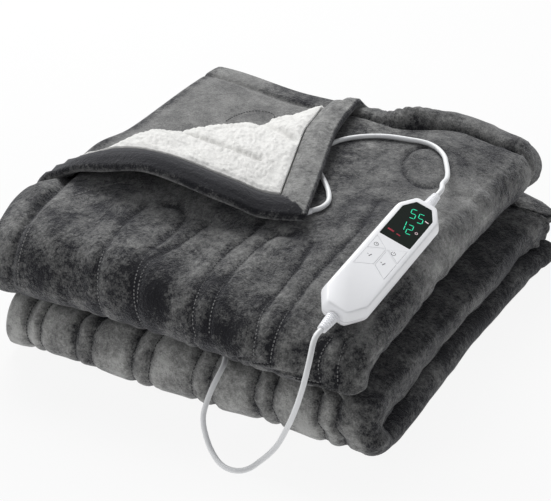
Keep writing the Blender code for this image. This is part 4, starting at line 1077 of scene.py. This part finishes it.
def controller_matrix():
    turn = Euler([math.radians(angle) for angle in CONTROLLER_TURN]).to_matrix().to_4x4()
    return Matrix.Translation(in_model(CONTROLLER_AT)) @ turn


def relief_exit(end, beyond):
    """A point on the axis of a strain relief, beyond its far end, in the part's frame."""
    reach = FACE_HALF_LENGTH + SKIRT + SEAT + RELIEF_LENGTH + beyond
    return controller_matrix() @ Vector((0.0, end * reach, RELIEF_AXIS))


def gland_exit(beyond):
    """A point on the gland's axis, beyond its mouth, in the part's frame."""
    mouth = in_model(GLAND_MOUTH)
    return mouth + (mouth - in_model(GLAND_ROOT)).normalized() * beyond


def smooth_route(points, step):
    """Places at even steps along one smooth curve through the points."""
    knots = [Vector(p) for p in points]
    knots = [2 * knots[0] - knots[1]] + knots + [2 * knots[-1] - knots[-2]]
    fine = []
    for p0, p1, p2, p3 in zip(knots, knots[1:], knots[2:], knots[3:]):
        for i in range(SPLINE_STEPS):
            fine.append(spline_point(p0, p1, p2, p3, i / SPLINE_STEPS))
    fine.append(knots[-2])
    lengths = [0.0]
    for a, b in zip(fine, fine[1:]):
        lengths.append(lengths[-1] + (b - a).length)
    count = max(2, round(lengths[-1] / step))
    places = np.interp(np.linspace(0.0, lengths[-1], count + 1), lengths, range(len(fine)))
    return [fine[int(p)].lerp(fine[min(int(p) + 1, len(fine) - 1)], p % 1.0) for p in places]


def spline_point(p0, p1, p2, p3, share):
    """A centripetal Catmull-Rom curve from p1 to p2."""
    k = [0.0]
    for a, b in ((p0, p1), (p1, p2), (p2, p3)):
        k.append(k[-1] + max((b - a).length, 1e-6) ** 0.5)
    u = k[1] + share * (k[2] - k[1])
    a1 = p0 * ((k[1] - u) / (k[1] - k[0])) + p1 * ((u - k[0]) / (k[1] - k[0]))
    a2 = p1 * ((k[2] - u) / (k[2] - k[1])) + p2 * ((u - k[1]) / (k[2] - k[1]))
    a3 = p2 * ((k[3] - u) / (k[3] - k[2])) + p3 * ((u - k[2]) / (k[3] - k[2]))
    b1 = a1 * ((k[2] - u) / (k[2] - k[0])) + a2 * ((u - k[0]) / (k[2] - k[0]))
    b2 = a2 * ((k[3] - u) / (k[3] - k[1])) + a3 * ((u - k[1]) / (k[3] - k[1]))
    return b1 * ((k[2] - u) / (k[2] - k[1])) + b2 * ((u - k[1]) / (k[2] - k[1]))


def coil_route(turns):
    """The wound turns, from the outside in on the floor and from the inside out on top of them."""
    centre = in_model((*COIL_AT, 0.0))
    rings = [(COIL_RADIUS + COIL_SPACING * k, COIL_ROWS[0]) for k in (1, 0, -1)]
    rings += [(COIL_RADIUS + COIL_SPACING * k, COIL_ROWS[1]) for k in (-1, 0, 1)]
    rings.append(rings[-1])
    found = []
    for i in range(turns * COIL_STEPS + 1):
        turn, share = divmod(i / COIL_STEPS, 1.0)
        here, after = rings[min(int(turn), 6)], rings[min(int(turn) + 1, 6)]
        blend = float(smooth((share - 0.55) / 0.45))
        radius = here[0] + (after[0] - here[0]) * blend
        height = here[1] + (after[1] - here[1]) * blend
        angle = 2 * math.pi * share
        found.append(centre + Vector((radius * math.cos(angle), radius * math.sin(angle), height)))
    return found


def cord_piece(name, places, material):
    """A round cord as a curve through its places."""
    curve = bpy.data.curves.new(name, "CURVE")
    curve.dimensions = "3D"
    line = curve.splines.new("POLY")
    line.points.add(len(places) - 1)
    for point, place in zip(line.points, places):
        point.co = (*place, 1.0)
    line.use_smooth = True
    curve.bevel_depth = CORD_RADIUS
    curve.bevel_resolution = 5
    curve.use_fill_caps = True
    curve.materials.append(material)
    return linked(name, curve)


# ---- the controller ----

def rounded_octagon(grow, radius):
    """The controller's outline in plan, counter-clockwise, grown by this much, with rounded corners."""
    chamfer = FACE_CHAMFER + grow * 0.4
    half_x, half_y, end = FACE_HALF_WIDTH + grow, FACE_HALF_LENGTH + grow, FACE_END_HALF + grow * 0.4
    side = half_y - chamfer
    right = [(half_x, -side), (half_x, side), (end, half_y)]
    left = [(-end, half_y), (-half_x, side), (-half_x, -side)]
    return eased(right + left + [(-end, -half_y), (end, -half_y)], radius)


def eased(outline, radius, pieces=5):
    """A closed outline with each corner cut to a smooth arc."""
    found = []
    count = len(outline)
    for i in range(count):
        corner = Vector(outline[i])
        before = Vector(outline[i - 1]) - corner
        after = Vector(outline[(i + 1) % count]) - corner
        cut_back = min(radius, 0.45 * before.length, 0.45 * after.length)
        start = corner + before.normalized() * cut_back
        end = corner + after.normalized() * cut_back
        for k in range(pieces + 1):
            share = k / pieces
            point = start * (1 - share) ** 2 + corner * 2 * share * (1 - share) + end * share ** 2
            found.append(tuple(point))
    return found


def join_rings(shape, levels):
    """The bands of faces between one ring of points and the next."""
    for low, high in zip(levels, levels[1:]):
        for i in range(len(low)):
            after = (i + 1) % len(low)
            shape.faces.new((low[i], low[after], high[after], high[i]))


def loft(rings):
    """A closed solid through a stack of like outlines, each with its height."""
    shape = bmesh.new()
    levels = [[shape.verts.new((x, y, z)) for x, y in ring] for ring, z in rings]
    join_rings(shape, levels)
    shape.faces.new(levels[0][::-1])
    shape.faces.new(levels[-1])
    return shape


def plate(outline, bottom, top):
    return loft([(outline, bottom), (outline, top)])


def grown(outline, amount):
    """A convex outline with each side moved out by this much."""
    count = len(outline)
    area = sum(outline[i][0] * outline[(i + 1) % count][1] - outline[(i + 1) % count][0] * outline[i][1]
               for i in range(count))
    turn = 1.0 if area > 0 else -1.0
    lines = []
    for i in range(count):
        a = Vector(outline[i])
        b = Vector(outline[(i + 1) % count])
        along = (b - a).normalized()
        lines.append((a + Vector((along.y, -along.x)) * turn * amount, along))
    found = []
    for i in range(count):
        (p, d), (q, e) = lines[i - 1], lines[i]
        share = (q - p).cross(e) / d.cross(e)
        found.append(tuple(p + d * share))
    return found


def mirrored(outline):
    """The outline on the other side of the controller's long axis."""
    return [(-x, y) for x, y in outline[::-1]]


def shape_piece(name, shape, material, matrix, sharp=SHARP_ANGLE):
    """A bmesh as a piece in the part's frame, smooth but for edges sharper than the angle."""
    bmesh.ops.recalc_face_normals(shape, faces=shape.faces)
    mesh = bpy.data.meshes.new(name)
    shape.to_mesh(mesh)
    shape.free()
    mesh.materials.append(material)
    mesh.shade_smooth()
    mesh.set_sharp_from_angle(angle=math.radians(sharp))
    mesh.transform(matrix)
    return linked(name, mesh)


def carve(obj, outlines, bottom, matrix):
    """Pockets of these outlines cut into a piece down to this height."""
    for outline in outlines:
        cutter = shape_piece("cutter", plate(outline, bottom, CUTTER_TOP), obj.data.materials[0], matrix)
        pocket = obj.modifiers.new("pocket", "BOOLEAN")
        pocket.object = cutter
        with bpy.context.temp_override(object=obj, active_object=obj, selected_objects=[obj]):
            bpy.ops.object.modifier_apply(modifier=pocket.name)
        bpy.data.objects.remove(cutter)
    obj.data.shade_smooth()
    obj.data.set_sharp_from_angle(angle=math.radians(SHARP_ANGLE))


def segment_bars(middle, lit_bars):
    """The lit bars of a seven-bar figure round its middle, as outlines turned a little to the left."""
    x, y = FIGURE_SIZE[0] / 2, FIGURE_SIZE[1] / 2
    thick = 0.13 * FIGURE_SIZE[0]
    lean = Matrix.Rotation(FIGURE_TURN, 2)
    bars = {"a": (-x, y, x, y), "g": (-x, 0.0, x, 0.0), "d": (-x, -y, x, -y), "f": (-x, 0.0, -x, y),
            "b": (x, 0.0, x, y), "e": (-x, -y, -x, 0.0), "c": (x, -y, x, 0.0)}
    found = []
    for name in lit_bars:
        start, end = Vector(bars[name][:2]), Vector(bars[name][2:])
        along = (end - start).normalized()
        side = Vector((-along.y, along.x)) * thick / 2
        start, end = start + along * thick * 1.1, end - along * thick * 1.1
        tip = along * thick / 2
        outline = (start - tip, start - side, end - side, end + tip, end + side, start + side)
        found.append([tuple(Vector(middle) + lean @ p) for p in outline])
    return found


def ring_outline(x, y, outer, inner, start=0.0, end=360.0):
    """A flat ring, or part of one, as one outline."""
    turns = [math.radians(start + (end - start) * i / 20) for i in range(21)]
    out = [(x + outer * math.cos(a), y + outer * math.sin(a)) for a in turns]
    back = [(x + inner * math.cos(a), y + inner * math.sin(a)) for a in turns[::-1]]
    return out + back


def bar_outline(ax, ay, bx, by, thick):
    start, end = Vector((ax, ay)), Vector((bx, by))
    along = (end - start).normalized()
    side = Vector((-along.y, along.x)) * thick / 2
    return [tuple(p) for p in (start - side, end - side, end + side, start + side)]


def flat_marks(name, outlines, bottom, top, material, matrix):
    """Thin printed or lit marks joined into one piece."""
    whole = bmesh.new()
    for outline in outlines:
        mark = plate(outline, bottom, top)
        mesh = bpy.data.meshes.new("mark")
        mark.to_mesh(mesh)
        mark.free()
        whole.from_mesh(mesh)
        bpy.data.meshes.remove(mesh)
    return shape_piece(name, whole, material, matrix)


def relief_shape(ribs):
    """A strain relief along +Z: a flattened sleeve with rounded ribs, tapering to the cord."""
    rings = []
    for i in range(ribs * RELIEF_STEPS + 1):
        share = i / (ribs * RELIEF_STEPS)
        gap = 0.0 if i % RELIEF_STEPS < RELIEF_STEPS / 2 else 1.0
        size = RELIEF_SWELL - RELIEF_TAPER * share - RELIEF_GROOVE * gap * smooth((1.02 - share) * 12)
        ring = superellipse(RELIEF_HALF_X * size, RELIEF_HALF_Z * size, 2.0)
        rings.append((ring, RELIEF_LENGTH * share))
    return loft(rings)


def superellipse(half_x, half_y, power, count=ROUND_STEPS):
    """An oval outline, rounder the lower its power."""
    found = []
    for i in range(count):
        turn = 2 * math.pi * i / count
        across, up = math.cos(turn), math.sin(turn)
        found.append((half_x * math.copysign(abs(across) ** (2 / power), across),
                      half_y * math.copysign(abs(up) ** (2 / power), up)))
    return found


# ---- materials ----

class Nodes:
    """A material's nodes, added one after another."""

    def __init__(self, name):
        self.material = bpy.data.materials.new(name)
        self.material.use_nodes = True
        self.tree = self.material.node_tree
        self.shader = self.tree.nodes["Principled BSDF"]

    def add(self, kind, **values):
        node = self.tree.nodes.new(kind)
        for key, value in values.items():
            if key in node.inputs:
                node.inputs[key].default_value = value
            else:
                setattr(node, key, value)
        return node

    def join(self, source, target):
        self.tree.links.new(source, target)

    def noise(self, scale, detail=2.0, rough=0.5, where=None):
        node = self.add("ShaderNodeTexNoise", Scale=scale, Detail=detail, Roughness=rough)
        self.join(where or self.place(), node.inputs["Vector"])
        return node.outputs["Fac"]

    def place(self, depth=1.0):
        """The place on the object, with patterns drawn out in depth by this share."""
        where = self.add("ShaderNodeMapping", Scale=(1.0, depth, 1.0))
        self.join(self.add("ShaderNodeTexCoord").outputs["Object"], where.inputs["Vector"])
        return where.outputs["Vector"]

    def value_of(self, name):
        return self.add("ShaderNodeAttribute", attribute_name=name).outputs["Fac"]

    def ramp(self, value, stops):
        node = self.add("ShaderNodeValToRGB")
        while len(node.color_ramp.elements) < len(stops):
            node.color_ramp.elements.new(0.5)
        for element, (at, colour) in zip(node.color_ramp.elements, stops):
            element.position = at
            element.color = (*colour, 1.0) if hasattr(colour, "__len__") else (colour, colour, colour, 1.0)
        self.join(value, node.inputs["Fac"])
        return node.outputs["Color"]

    def math(self, operation, a, b):
        node = self.add("ShaderNodeMath", operation=operation)
        for socket, value in zip(node.inputs, (a, b)):
            if isinstance(value, (int, float)):
                socket.default_value = value
            else:
                self.join(value, socket)
        return node.outputs["Value"]

    def swing(self, amount, scale, detail, rough=0.5, where=None):
        """A pattern that adds or takes away up to half this amount."""
        pattern = self.noise(scale, detail, rough, where)
        return self.math("MULTIPLY", self.math("SUBTRACT", pattern, 0.5), amount)

    def paint(self, value, stops, socket="Base Color"):
        """Leads a value through colour stops into one socket of the surface."""
        self.join(self.ramp(value, stops), self.shader.inputs[socket])

    def bump(self, height, distance, strength, under=None):
        node = self.add("ShaderNodeBump", Distance=distance, Strength=strength)
        self.join(height, node.inputs["Height"])
        if under is not None:
            self.join(under, node.inputs["Normal"])
        return node.outputs["Normal"]

    def roughen(self, *bumps):
        self.join(self.bump(*bumps), self.shader.inputs["Normal"])

    def finish(self, **values):
        """Sets plain values of the surface, and gives the material."""
        for key, value in values.items():
            self.shader.inputs[key.replace("_", " ")].default_value = value
        return self.material


def shaded(colour, share):
    return [c * share for c in colour]


def flannel(looks):
    """Grey plush: dark to light by its nap values, which hold painted light and shade as well as the nap's
    random mottle, with a soft sheen and a fine pile.
    """
    made = Nodes("grey_flannel_painted_light")
    where = made.place(0.85)
    clouds = made.swing(2.1, 52.0, 6.0, 0.70, where)
    strokes = made.swing(1.6, 230.0, 4.0, 0.72, where)
    brushed = made.math("MULTIPLY", made.math("ADD", clouds, strokes), made.value_of("stir"))
    level = made.math("ADD", made.math("ADD", made.value_of("nap_and_painted_light"), brushed), made.swing(0.95, 700.0, 2.0))
    middle = [a * 0.6 + b * 0.4 for a, b in zip(looks.dark, looks.light)]
    # Above the light stop the ramp goes on to 1.6 times the light colour, for the brightest painted
    # highlights.
    stops = [(0.0, looks.dark), (0.30, middle), (NAP_SHARE, looks.light), (1.0, shaded(looks.light, 1.6))]
    made.paint(made.math("MULTIPLY", level, NAP_SHARE), stops)
    fine = made.bump(made.noise(1300.0, 2.0), 0.0006, 0.55)
    tufts = made.bump(made.noise(240.0, 3.0, 0.6), 0.0012, 0.5, fine)
    made.roughen(brushed, 0.0030, 0.6, tufts)
    return made.finish(Roughness=0.92, Sheen_Weight=0.30, Sheen_Roughness=0.45,
                       Sheen_Tint=(0.92, 0.93, 0.96, 1.0), Specular_IOR_Level=0.12)


def fleece(looks):
    """White curly pile: soft, with a faint random grey that is painted shade between the curls."""
    made = Nodes("white_curly_pile")
    made.paint(made.noise(150.0, 4.0, 0.65), [(0.30, shaded(looks.white, 0.80)), (0.55, looks.white)])
    curls = made.bump(made.noise(420.0, 4.0, 0.65), 0.0012, 0.7)
    made.roughen(made.noise(1800.0, 2.0), 0.0004, 0.6, curls)
    return made.finish(Roughness=0.95, Sheen_Weight=0.35, Sheen_Roughness=0.5, Specular_IOR_Level=0.10)


def thread():
    """Dark thread, made pale where the piece's own values say so, which on the front fold is a painted
    highlight.
    """
    made = Nodes("dark_thread")
    twist = made.math("MULTIPLY", made.noise(1500.0, 1.0), 0.04)
    tone = made.math("ADD", twist, made.value_of("pale"))
    made.paint(tone, [(0.0, (0.010, 0.010, 0.012)), (1.0, (0.20, 0.20, 0.20))])
    made.roughen(twist, 0.0002, 0.5)
    return made.finish(Roughness=0.7)


def plastic(name, colour, roughness, grain=0.00006, coat=0.0, gloss=0.5):
    """Moulded plastic with a faint spark finish."""
    made = Nodes(name)
    made.paint(made.noise(60.0, 2.0), [(0.2, shaded(colour, 0.975)), (0.8, list(colour))])
    made.roughen(made.noise(2600.0, 2.0), grain, 0.5)
    stops = [(0.2, roughness * 0.9), (0.8, min(1.0, roughness * 1.12))]
    made.paint(made.noise(35.0, 3.0), stops, "Roughness")
    return made.finish(Coat_Weight=coat, Specular_IOR_Level=gloss)


def lit(name, colour, strength):
    """A lit mark behind the window."""
    made = Nodes(name)
    made.paint(made.noise(900.0, 1.0), [(0.3, shaded(colour, 0.85)), (0.7, list(colour))], "Emission Color")
    return made.finish(Emission_Strength=strength, Roughness=0.4, Base_Color=(*colour, 1.0))


def brushed_metal():
    """The plug's brass blades."""
    made = Nodes("brass_blades")
    streak = made.noise(400.0, 2.0)
    made.paint(streak, [(0.3, (0.62, 0.56, 0.40)), (0.7, (0.80, 0.74, 0.58))])
    made.roughen(streak, 0.00005, 0.4)
    return made.finish(Metallic=1.0, Roughness=0.32)


def floor_material(looks):
    """A pale sheet, lit from below, on which shadows stay faint."""
    made = Nodes("pale_floor")
    tone = made.noise(3.0, 2.0)
    for share, socket in ((1.0 - looks.glow, "Base Color"), (looks.glow, "Emission Color")):
        colour = shaded(looks.floor, share)
        made.paint(tone, [(0.3, shaded(colour, 0.997)), (0.7, colour)], socket)
    return made.finish(Roughness=0.9, Emission_Strength=1.0, Specular_IOR_Level=0.0)


# ---- operators ----

class HEATED_OT_camera(bpy.types.Operator):
    """Sets the camera at the photograph's view"""

    bl_idname = "heated.camera"
    bl_label = "Camera"

    def execute(self, context):
        camera = linked("camera", bpy.data.cameras.new("camera"))
        camera.location = in_model(CAMERA_AT)
        camera.rotation_euler = (in_model(CAMERA_AIM) - camera.location).to_track_quat("-Z", "Y").to_euler()
        camera.data.lens = CAMERA_LENS
        camera.data.sensor_width = CAMERA_SENSOR
        context.scene.camera = camera
        return {"FINISHED"}


class HEATED_OT_cords(bpy.types.Operator):
    """Makes the cord from the throw to the controller, and the cord on to its coil and plug"""

    bl_idname = "heated.cords"
    bl_label = "Cords, coil and plug"

    def execute(self, context):
        sizes = context.scene.heated_controller
        white = plastic("cord_sleeve", (0.80, 0.81, 0.82), 0.42, 0.00004)
        shell = plastic("plug_moulding", sizes.shell, 0.38)
        upper = [relief_exit(1.0, SEAT), relief_exit(1.0, STRAIGHT)]
        places = upper + [in_model(p) for p in THROW_LEAD] + [gland_exit(STRAIGHT), gland_exit(2 * SEAT)]
        places = smooth_route(places, CORD_STEP)
        throw_cord = cord_piece("throw_cord", places, white)
        keep(throw_cord, "white_cord", "throw_lead")
        gland = self.gland(shell)
        lower = [relief_exit(-1.0, SEAT), relief_exit(-1.0, STRAIGHT)]
        places = smooth_route(lower + [in_model(p) for p in MAINS_LEAD], CORD_STEP)
        coil = coil_route(sizes.coil_turns)
        last = smooth_route([coil[-2], coil[-1]] + [in_model(p) for p in PLUG_LEAD], CORD_STEP)
        places = smooth_route(places[::2] + coil + last[3:], CORD_STEP)
        mains_cord = cord_piece("mains_cord", places, white)
        keep(mains_cord, "white_cord", "mains_lead", "cord_coil", "plug_lead")
        tie = self.tie()
        plug = self.plug(shell)
        blades = [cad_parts[name] for name in ("left_blade", "right_blade")]
        for blade in blades:
            blade.data.materials.clear()
            blade.data.materials.append(brushed_metal())
        return {"FINISHED"}

    def gland(self, shell):
        """The tapered sleeve that the cord enters the throw by."""
        root = in_model(GLAND_ROOT)
        axis = in_model(GLAND_MOUTH) - root
        rings = []
        for share, size in ((0.0, 0.80), (0.04, 0.94), (0.08, 1.0), (0.45, 1.0), (0.50, 0.95), (0.55, 0.90),
                            (0.97, 0.90), (1.0, 0.87)):
            ring = superellipse(GLAND_HALF_X * size ** 3, GLAND_HALF_Z * size ** 0.5, 2.5)
            rings.append((ring, share * axis.length))
        matrix = Matrix.Translation(root) @ axis.to_track_quat("Z", "Y").to_matrix().to_4x4()
        gland = shape_piece("gland_sleeve", loft(rings), shell, matrix)
        keep(gland, "white_plastic", "cord_gland")
        return gland

    def tie(self):
        """The soft strap round the coil's turns, on its side away from the stack."""
        material = plastic("tie_strap", (0.72, 0.73, 0.74), 0.7, 0.0002)
        half = TIE_HALF_WIDTH
        shape = bmesh.new()
        outside = superellipse(TIE_HALF_X, TIE_HALF_Z, 5.0, TIE_STEPS)
        inside = superellipse(TIE_HALF_X - TIE_THICK, TIE_HALF_Z - TIE_THICK, 5.0, TIE_STEPS)
        rings = []
        for outline, side in ((outside, -half), (outside, half), (inside, half), (inside, -half)):
            rings.append([shape.verts.new((x, side, y)) for x, y in outline])
        join_rings(shape, rings + rings[:1])
        centre = in_model((*COIL_AT, TIE_HALF_Z))
        matrix = Matrix.Translation(centre + Vector((-COIL_RADIUS, 0.0, 0.0)))
        tie = shape_piece("coil_tie", shape, material, matrix)
        keep(tie, "white_plastic")
        return tie

    def plug(self, shell):
        """The moulded plug body, with a ribbed relief and soft edges."""
        frame_matrix = Matrix.Translation(in_model(PLUG_LEAD[-1]) + Vector((0.0, 2 * SEAT, 0.0)))
        frame_matrix = frame_matrix @ Euler((math.pi / 2, 0.0, math.pi)).to_matrix().to_4x4()
        rings = []
        for i in range(31):
            share = i / 30
            size = 0.0032 + 0.0010 * share - 0.0005 * (0.5 + 0.5 * math.cos(2 * math.pi * i / 5))
            rings.append((superellipse(size, size, 2.0), PLUG_RELIEF * share))
        for size, z in ((0.62, 0.0005), (0.80, 0.0018), (0.94, 0.0040), (1.0, 0.0070), (1.0, 0.0240),
                        (0.985, 0.0262), (0.95, 0.0275), (0.90, 0.0280)):
            rings.append((superellipse(PLUG_HALF_X * size, PLUG_HALF_Y * size, 4.0), PLUG_RELIEF + z))
        plug = shape_piece("plug_body", loft(rings), shell, frame_matrix, 50.0)
        keep(plug, "white_plastic", "mains_plug")
        return plug


class HEATED_OT_throw(bpy.types.Operator):
    """Makes the folded throw, its white pile on the turned corner and its stitching"""

    bl_idname = "heated.throw"
    bl_label = "Throw"

    def execute(self, context):
        looks = context.scene.heated_throw
        cloth = make_cloth(looks)
        keep(cloth, "grey_flannel", "blanket_cloth")
        pile = make_pile(looks)
        keep(pile, "white_pile", "pile_lining")
        stitches = make_stitches(looks)
        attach(stitches, "root")
        return {"FINISHED"}


class HEATED_OT_controller(bpy.types.Operator):
    """Makes the controller: housing, window with its figures, keys and strain reliefs"""

    bl_idname = "heated.controller"
    bl_label = "Controller"

    def execute(self, context):
        sizes = context.scene.heated_controller
        matrix = controller_matrix()
        shell = plastic("white_shell", sizes.shell, 0.30, 0.00004, 0.15)
        self.housing(sizes, shell, matrix)
        self.window(sizes, matrix)
        self.keys(shell, matrix)
        for end, name in ((1.0, "upper_strain_relief"), (-1.0, "lower_strain_relief")):
            at = Matrix.Translation((0.0, end * (FACE_HALF_LENGTH + SKIRT + SEAT), RELIEF_AXIS))
            turn = Euler((-end * math.pi / 2, 0.0, 0.0)).to_matrix().to_4x4()
            relief = shape_piece(name.replace("strain", "ribbed"), relief_shape(sizes.ribs), shell,
                                 matrix @ at @ turn, 40.0)
            keep(relief, "white_plastic", name)
        return {"FINISHED"}

    def housing(self, sizes, shell, matrix):
        radius = sizes.corner
        base_rings = ((SKIRT - 0.0060, -THICKNESS), (SKIRT - 0.0045, -THICKNESS + 0.0005),
                      (SKIRT - 0.0020, -THICKNESS + 0.0026), (SKIRT - 0.0008, -THICKNESS + 0.0050),
                      (SKIRT - 0.0001, PARTING - 0.0012), (SKIRT - 0.0003, PARTING - 0.0005))
        base = shape_piece("housing_base", loft([(rounded_octagon(g, radius), z) for g, z in base_rings]),
                           shell, matrix)
        keep(base, "white_plastic", "controller_base")
        cover_rings = ((SKIRT - 0.0003, PARTING), (SKIRT, PARTING + 0.0006), (SKIRT - 0.0003, -0.0078),
                       (SKIRT - 0.0008, -0.0060), (0.0013, -0.0024), (0.0007, -0.0010), (0.0001, -0.0003),
                       (-0.0008, 0.0))
        cover = shape_piece("housing_cover", loft([(rounded_octagon(g, radius), z) for g, z in cover_rings]),
                            shell, matrix)
        carve(cover, [eased(grown(WINDOW, SEAT), WINDOW_CORNER)], -WINDOW_DEPTH - SEAT, matrix)
        keys = [UPPER_KEY, mirrored(UPPER_KEY), LOWER_KEY, mirrored(LOWER_KEY)]
        carve(cover, [grown(key, SEAT) for key in keys], -KEY_DEPTH - SEAT, matrix)
        keep(cover, "white_plastic", "controller_cover")

    def window(self, sizes, matrix):
        glass = plastic("dark_glass", (0.006, 0.011, 0.008), 0.22, 0.00001, gloss=0.3)
        pane = plate(eased(WINDOW, WINDOW_CORNER), -WINDOW_DEPTH, -MARK_DEPTH)
        pane = shape_piece("window_pane", pane, glass, matrix)
        keep(pane, "dark_window", "display_window")
        figures = [outline for middle, bars in FIGURES for outline in segment_bars(middle, bars)]
        red = [bar_outline(*bar) for bar in RED_BARS]
        pale = [bar_outline(*PALE_BAR), ring_outline(*PALE_RING)]
        for name, outlines, material in (("lit_figures", figures, lit("lit_green", sizes.figures, 0.75)),
                                         ("lit_marks", red, lit("lit_red", sizes.marks, 0.22)),
                                         ("pale_marks", pale, lit("lit_pale", (0.8, 0.62, 0.66), 0.40))):
            keep(flat_marks(name, outlines, -MARK_DEPTH, -MARK_DEPTH / 2, material, matrix), "dark_window")

    def keys(self, shell, matrix):
        keys = (("timer", UPPER_KEY), ("power", mirrored(UPPER_KEY)))
        keys += (("cooler", LOWER_KEY), ("warmer", mirrored(LOWER_KEY)))
        for name, outline in keys:
            cap = shape_piece("cap_" + name, plate(outline, -KEY_DEPTH, 0.0001), shell, matrix)
            keep(cap, "white_plastic", "key_" + name)
        signs = [ring_outline(*ring) for ring in KEY_RINGS] + [bar_outline(*bar) for bar in KEY_BARS]
        print_grey = plastic("grey_print", (0.12, 0.12, 0.13), 0.5)
        marks = flat_marks("key_marks", signs, 0.0, PRINT_HEIGHT, print_grey, matrix)
        keep(marks, "white_plastic")


class HEATED_OT_studio(bpy.types.Operator):
    """Makes the pale floor and the soft lights"""

    bl_idname = "heated.studio"
    bl_label = "Studio"

    def execute(self, context):
        looks = context.scene.heated_studio
        shape = bmesh.new()
        bmesh.ops.create_grid(shape, x_segments=8, y_segments=8, size=6.0)
        floor = shape_piece("floor", shape, floor_material(looks), Matrix.Translation((0.0, 0.0, -0.0002)))
        world = bpy.data.worlds.new("studio")
        world.use_nodes = True
        world.node_tree.nodes["Background"].inputs["Color"].default_value = (0.97, 0.98, 1.0, 1.0)
        world.node_tree.nodes["Background"].inputs["Strength"].default_value = looks.air
        context.scene.world = world
        self.softbox("key_light", looks.key, (-0.9, 0.9, 1.6), 1.2)
        self.softbox("front_fill", looks.fill, (-1.2, -1.5, 0.7), 1.2)
        context.scene.view_settings.view_transform = "Standard"
        return {"FINISHED"}

    def softbox(self, name, power, place, size):
        lamp = bpy.data.lights.new(name, "AREA")
        lamp.shape = "SQUARE"
        lamp.size = size
        lamp.energy = power
        light = linked(name, lamp)
        light.location = place
        light.rotation_euler = (Vector((0.0, 0.0, 0.08)) - light.location).to_track_quat("-Z", "Y").to_euler()


class HEATED_PT_panel(bpy.types.Panel):
    """The sizes, colours and makers of the folded heated throw"""

    bl_idname = "HEATED_PT_panel"
    bl_label = "Heated throw"
    bl_space_type = "VIEW_3D"
    bl_region_type = "UI"
    bl_category = "Heated throw"

    def draw(self, context):
        layout = self.layout
        scene = context.scene
        for group in (scene.heated_throw, scene.heated_controller, scene.heated_studio):
            box = layout.box()
            for name in group.__annotations__:
                box.prop(group, name)
        for operator in OPERATORS:
            layout.operator(operator.bl_idname)


OPERATORS = (HEATED_OT_camera, HEATED_OT_cords, HEATED_OT_throw, HEATED_OT_controller, HEATED_OT_studio)
CLASSES = (ThrowLooks, ControllerLooks, StudioLooks, *OPERATORS, HEATED_PT_panel)


def register():
    for item in CLASSES:
        bpy.utils.register_class(item)
    bpy.types.Scene.heated_throw = PointerProperty(type=ThrowLooks)
    bpy.types.Scene.heated_controller = PointerProperty(type=ControllerLooks)
    bpy.types.Scene.heated_studio = PointerProperty(type=StudioLooks)


def unregister():
    for name in ("heated_throw", "heated_controller", "heated_studio"):
        delattr(bpy.types.Scene, name)
    for item in reversed(CLASSES):
        bpy.utils.unregister_class(item)


def main():
    register()
    for operator in (bpy.ops.heated.camera, bpy.ops.heated.cords, bpy.ops.heated.throw,
                     bpy.ops.heated.controller, bpy.ops.heated.studio):
        operator()


if __name__ == "__main__":
    main()
